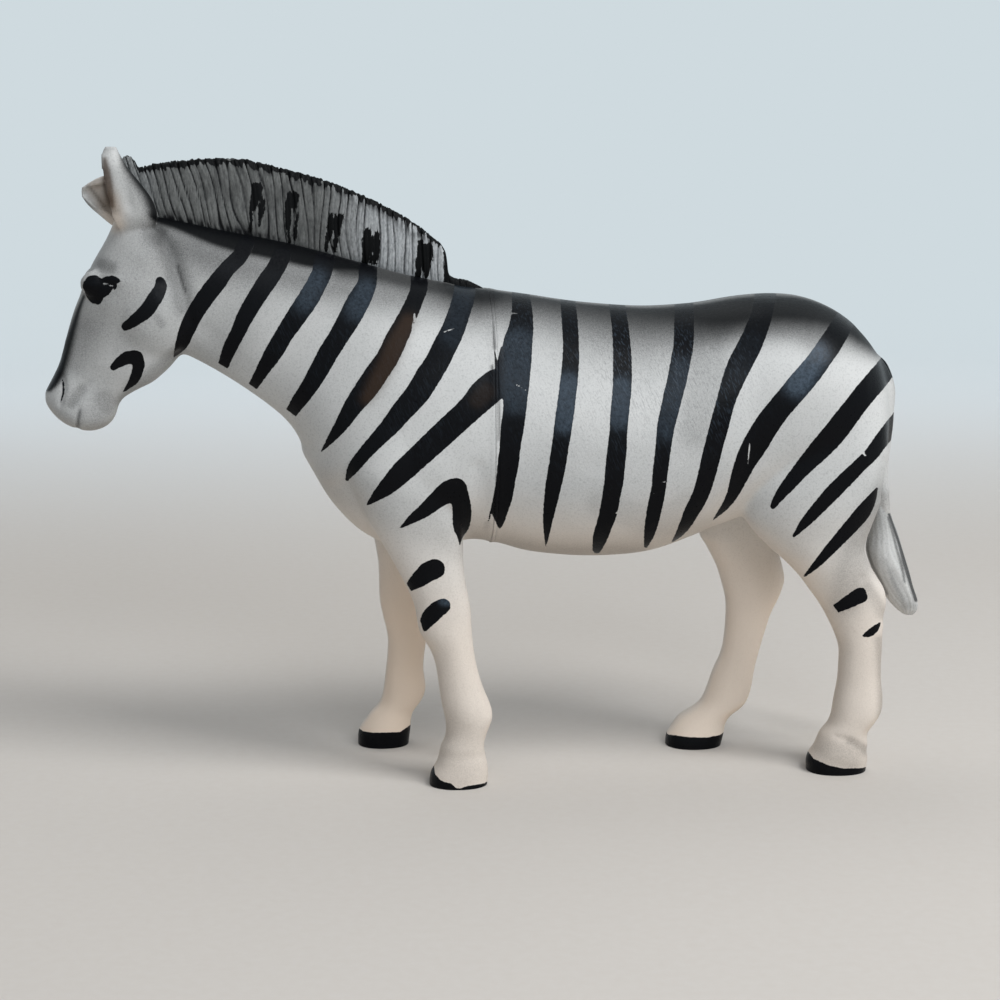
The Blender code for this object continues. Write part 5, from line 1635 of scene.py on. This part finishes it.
def build_tail(tail):
    """The hanging tail: shallow strands that run down into a tuft, painted with the body."""
    rings = tail_sections(TAIL_SHARES, tail.steps, tail.sides, tail.root_inset)
    mesh = new_mesh("tail_strands", lambda bm: loft(bm, rings))
    points, normals = mesh_points(mesh)
    count = len(rings) * tail.sides
    down = np.repeat(np.linspace(0, 1, len(rings)), tail.sides)
    turn = np.tile(np.arange(tail.sides) / tail.sides, len(rings))
    around, downward = STRAND_DRIFT
    wave = np.array([
        noise.noise(Vector((math.cos(t) * around, math.sin(t) * around, d * downward)))
        for d, t in zip(down, STRAND_CIRCLE * turn)
    ])
    phase = turn * tail.strands + STRAND_WANDER * wave + STRAND_TWIST * down
    strand = (1 - np.abs(np.sin(math.pi * phase)) ** STRAND_SHARPNESS) * smoothstep(*STRAND_DOWN_SHARES, down)
    outer_share = smoothstep(*STRAND_TURN_SHARES, np.cos(math.tau * turn))
    groove = np.zeros(len(points))
    groove[:count] = strand * (STRAND_INNER_SHARE + (1 - STRAND_INNER_SHARE) * outer_share)
    points -= normals * (tail.groove_depth * groove)[:, None]
    move_points(mesh, points)
    # Painted shade on the tail: the lines above, and a little more low in each strand groove
    lines = sprayed(project(mirrored(points)), TAIL_SPRAYS_PX)
    lines *= smoothstep(*SPRAYED_FACING, outward(points, normals))
    paint(mesh, 1 - (1 - lines) * (1 - STRAND_SHADE_SHARE * groove), tail.warmth, mirrored)
    skin = bpy.data.objects["rear_shell_skin"].data
    add_piece("tail_strands", mesh, skin.materials[0], "tail")


def build_stage(stage):
    """A pale paper sweep, soft lamps and the photograph's camera."""
    bm = bmesh.new()
    bend_start = stage.reach * PAPER_BEND_SHARE
    profile = [(-stage.reach, 0.0), (bend_start, 0.0)]
    for step in range(1, BEND_STEPS + 1):
        turn = math.pi / 2 * step / BEND_STEPS
        profile.append((bend_start + stage.bend * math.sin(turn), stage.bend * (1 - math.cos(turn))))
    profile.append((bend_start + stage.bend, stage.reach))
    left, right = [[bm.verts.new((x, y, z)) for y, z in profile] for x in (-stage.reach, stage.reach)]
    for index in range(len(profile) - 1):
        bm.faces.new((left[index], right[index], right[index + 1], left[index + 1]))
    mesh = bpy.data.meshes.new("paper_sweep")
    bm.to_mesh(mesh)
    bm.free()
    mesh.shade_smooth()
    mesh.materials.append(seamless_paper(stage))
    new_object("paper_sweep", mesh)

    # Name, place, power, size and tint of each lamp
    lamps = (
        ("key_lamp", (0.62, -0.52, 0.96), stage.key_power, 0.50, "#ffffff"),
        ("window_lamp", (0.19, -1.07, 0.70), stage.window_power, 0.48, "#eef6ff"),
        ("back_lamp", (-0.25, 0.45, 1.05), stage.back_power, 0.60, "#ffffff"),
    )
    for name, place, power, size, tint in lamps:
        data = bpy.data.lights.new(name, "AREA")
        data.energy = power
        data.color = linear(tint)
        data.size = size
        lamp = new_object(name, data)
        lamp.location = place
        lamp.rotation_euler = (LAMP_AIM - Vector(place)).to_track_quat("-Z", "Y").to_euler()

    world = bpy.data.worlds.new("studio")
    world.use_nodes = True
    tree = world.node_tree
    room = tree.nodes["Background"]
    seen = seen_rays(tree)
    tree.links.new(coated(tree, ROOM_AIR, (seen, stage.room)), room.inputs["Color"])
    strength = add_node(tree, "MapRange", {"Value": seen, "To Min": stage.room_light})
    tree.links.new(strength, room.inputs["Strength"])
    bpy.context.scene.world = world

    data = bpy.data.cameras.new("photo_camera")
    data.lens = LENS_MM
    data.sensor_width = FILM_MM
    camera = new_object("photo_camera", data)
    turn = Matrix((CAMERA_RIGHT, CAMERA_UP, CAMERA_BACK)).transposed().to_4x4()
    camera.matrix_world = Matrix.Translation(CAMERA_PLACE) @ turn
    bpy.context.scene.camera = camera
    bpy.context.scene.view_settings.view_transform = "Standard"


class ZebraSkinSettings(bpy.types.PropertyGroup):
    body_grain: bpy.props.FloatProperty(
        name="Body grain", description="Grain of the softened body",
        default=0.0008, min=0.0004, unit="LENGTH")
    body_passes: bpy.props.IntProperty(
        name="Body softening", description="Softening passes of the body", default=6, min=0)
    grain: bpy.props.FloatProperty(
        name="Skin grain", description="Grain of the finished skin",
        default=0.0005, min=0.0003, unit="LENGTH")
    passes: bpy.props.IntProperty(
        name="Skin softening", description="Softening passes of the skin", default=3, min=0)
    seam_gap: bpy.props.FloatProperty(
        name="Seam gap", description="Each shell's distance to the girth plane",
        default=0.00042, min=0.0001, unit="LENGTH")


class ZebraPaintSettings(bpy.types.PropertyGroup):
    white: bpy.props.StringProperty(name="White", description="Satin white lacquer", default="#d1d2d1")
    white_shade: bpy.props.StringProperty(
        name="White shade", description="Thin places in the white", default="#c7c9c8")
    dust: bpy.props.StringProperty(name="Dust", description="Specks in the white", default="#8a8c8d")
    # Cream: bare plastic, and on inward and downward faces painted warm bounced light
    cream: bpy.props.StringProperty(name="Cream", description="Bare plastic", default="#efdecc")
    # Shade: the airbrushed dark paint, and painted shade in the same colour
    shade: bpy.props.StringProperty(name="Shade", description="Airbrushed mist", default="#08090b")
    black: bpy.props.StringProperty(
        name="Black", description="Brushed stripes and hooves", default="#0a0b0e")
    # Painted sheen on the black, where light glances off it
    black_sheen: bpy.props.StringProperty(name="Worn black", description="Handled black", default="#46525e")
    brown: bpy.props.StringProperty(name="Brown", description="Warm under-paint", default="#4c3b2e")
    edge_wander: bpy.props.FloatProperty(
        name="Edge wander", description="Stripe edge's sway, in millimetres", default=0.09, min=0.0)
    white_roughness: bpy.props.FloatProperty(
        name="White roughness", description="Satin lacquer",
        default=0.42, min=0.0, max=1.0, subtype="FACTOR")
    black_roughness: bpy.props.FloatProperty(
        name="Black roughness", description="Semi-gloss black",
        default=0.30, min=0.0, max=1.0, subtype="FACTOR")


class ZebraBeadSettings(bpy.types.PropertyGroup):
    width: bpy.props.FloatProperty(
        name="Width", description="Width of the adhesive line", default=0.00080, min=0.0002, unit="LENGTH")
    rise: bpy.props.FloatProperty(
        name="Rise", description="How far it stands proud", default=0.00011, min=0.0, unit="LENGTH")
    depth: bpy.props.FloatProperty(
        name="Depth", description="How deep it reaches in", default=0.0010, min=0.0002, unit="LENGTH")
    segments: bpy.props.IntProperty(
        name="Segments", description="Steps round the girth", default=360, min=24)


class ZebraManeSettings(bpy.types.PropertyGroup):
    lock_spacing: bpy.props.FloatProperty(
        name="Lock spacing", description="From groove to groove", default=0.0021, min=0.0005, unit="LENGTH")
    hair_spacing: bpy.props.FloatProperty(
        name="Hair spacing", description="From hairline to hairline",
        default=0.0008, min=0.0003, unit="LENGTH")
    groove_depth: bpy.props.FloatProperty(
        name="Groove depth", description="Depth between two locks", default=0.00055, min=0.0, unit="LENGTH")
    tooth_height: bpy.props.FloatProperty(
        name="Tooth height", description="Ragged top edge", default=0.00065, min=0.0, unit="LENGTH")
    columns: bpy.props.IntProperty(name="Columns", description="Steps along the crest", default=620, min=60)
    sides: bpy.props.IntProperty(name="Sides", description="Points round each step", default=96, min=12)
    light: bpy.props.StringProperty(name="Ridges", description="Rubbed ridges", default="#adb1b3")
    light_front: bpy.props.StringProperty(
        name="Front ridges", description="Ridges behind the ears", default="#6a6c6b")
    dark: bpy.props.StringProperty(
        name="Grooves", description="Paint left in the grooves", default="#1b1c1e")
    black: bpy.props.StringProperty(name="Black", description="Bars and top edge", default="#08090a")


class ZebraTailSettings(bpy.types.PropertyGroup):
    strands: bpy.props.IntProperty(name="Strands", description="Strands round the tail", default=15, min=3)
    groove_depth: bpy.props.FloatProperty(
        name="Groove depth", description="Depth between strands", default=0.00028, min=0.0, unit="LENGTH")
    warmth: bpy.props.FloatProperty(
        name="Warmth", description="Share of the legs' cream that shows here",
        default=0.10, min=0.0, max=1.0, subtype="FACTOR")
    root_inset: bpy.props.FloatProperty(
        name="Root inset", description="How deep the root lies in the skin",
        default=0.0009, min=0.0, unit="LENGTH")
    steps: bpy.props.IntProperty(name="Steps", description="Steps in each span", default=12, min=2)
    sides: bpy.props.IntProperty(name="Sides", description="Points round the tail", default=96, min=12)


class ZebraStageSettings(bpy.types.PropertyGroup):
    reach: bpy.props.FloatProperty(
        name="Reach", description="Half width of the paper", default=1.6, min=0.5, unit="LENGTH")
    bend: bpy.props.FloatProperty(
        name="Bend", description="Radius of the paper's bend", default=0.25, min=0.05, unit="LENGTH")
    paper: bpy.props.StringProperty(name="Paper", description="Floor colour", default="#c2bcb5")
    wall: bpy.props.StringProperty(name="Wall", description="Backdrop colour", default="#eff5f8")
    key_power: bpy.props.FloatProperty(
        name="Key lamp", description="From the upper right", default=10.8, min=0.0, unit="POWER")
    window_power: bpy.props.FloatProperty(
        name="Window lamp", description="From behind the camera", default=4.2, min=0.0, unit="POWER")
    back_power: bpy.props.FloatProperty(
        name="Back lamp", description="From above, behind", default=2.0, min=0.0, unit="POWER")
    room_light: bpy.props.FloatProperty(
        name="Room light", description="Even light all round", default=0.265, min=0.0)
    room: bpy.props.StringProperty(
        name="Room", description="Colour that shows behind the paper", default="#cfdadf")


class ZEBRA_OT_skins(bpy.types.Operator):
    """Build the sculpted, painted shells"""
    bl_idname = "zebra.skins"
    bl_label = "Painted Shells"

    def execute(self, context):
        build_skins(context.scene.zebra_skin, context.scene.zebra_paint)
        return {"FINISHED"}


class ZEBRA_OT_bead(bpy.types.Operator):
    """Build the line of adhesive in the girth seam"""
    bl_idname = "zebra.bead"
    bl_label = "Girth Seam Line"

    def execute(self, context):
        build_bead(context.scene.zebra_bead)
        return {"FINISHED"}


class ZEBRA_OT_mane(bpy.types.Operator):
    """Build the grooved mane"""
    bl_idname = "zebra.mane"
    bl_label = "Mane"

    def execute(self, context):
        build_mane(context.scene.zebra_mane)
        return {"FINISHED"}


class ZEBRA_OT_tail(bpy.types.Operator):
    """Build the tail and its strands"""
    bl_idname = "zebra.tail"
    bl_label = "Tail"

    def execute(self, context):
        build_tail(context.scene.zebra_tail)
        return {"FINISHED"}


class ZEBRA_OT_stage(bpy.types.Operator):
    """Set the paper sweep, lamps and camera"""
    bl_idname = "zebra.stage"
    bl_label = "Studio"

    def execute(self, context):
        build_stage(context.scene.zebra_stage)
        return {"FINISHED"}


class ZEBRA_PT_panel(bpy.types.Panel):
    """Sizes, colours and steps of the toy zebra"""
    bl_label = "Toy Zebra"
    bl_idname = "ZEBRA_PT_panel"
    bl_space_type = "VIEW_3D"
    bl_region_type = "UI"
    bl_category = "Zebra"

    def draw(self, context):
        for name, group, operator in GROUPS:
            column = self.layout.box().column()
            if operator:
                column.operator(operator)
            settings = getattr(context.scene, name)
            for entry in group.__annotations__:
                column.prop(settings, entry)


GROUPS = (
    ("zebra_skin", ZebraSkinSettings, "zebra.skins"),
    ("zebra_paint", ZebraPaintSettings, None),
    ("zebra_bead", ZebraBeadSettings, "zebra.bead"),
    ("zebra_mane", ZebraManeSettings, "zebra.mane"),
    ("zebra_tail", ZebraTailSettings, "zebra.tail"),
    ("zebra_stage", ZebraStageSettings, "zebra.stage"),
)
OPERATORS = (ZEBRA_OT_skins, ZEBRA_OT_bead, ZEBRA_OT_mane, ZEBRA_OT_tail, ZEBRA_OT_stage, ZEBRA_PT_panel)


def register():
    for name, group, _ in GROUPS:
        bpy.utils.register_class(group)
        setattr(bpy.types.Scene, name, bpy.props.PointerProperty(type=group))
    for shown in OPERATORS:
        bpy.utils.register_class(shown)


def unregister():
    for shown in reversed(OPERATORS):
        bpy.utils.unregister_class(shown)
    for name, group, _ in reversed(GROUPS):
        delattr(bpy.types.Scene, name)
        bpy.utils.unregister_class(group)


def main():
    register()
    bpy.ops.zebra.skins()
    bpy.ops.zebra.bead()
    bpy.ops.zebra.mane()
    bpy.ops.zebra.tail()
    bpy.ops.zebra.stage()


if __name__ == "__main__":
    main()
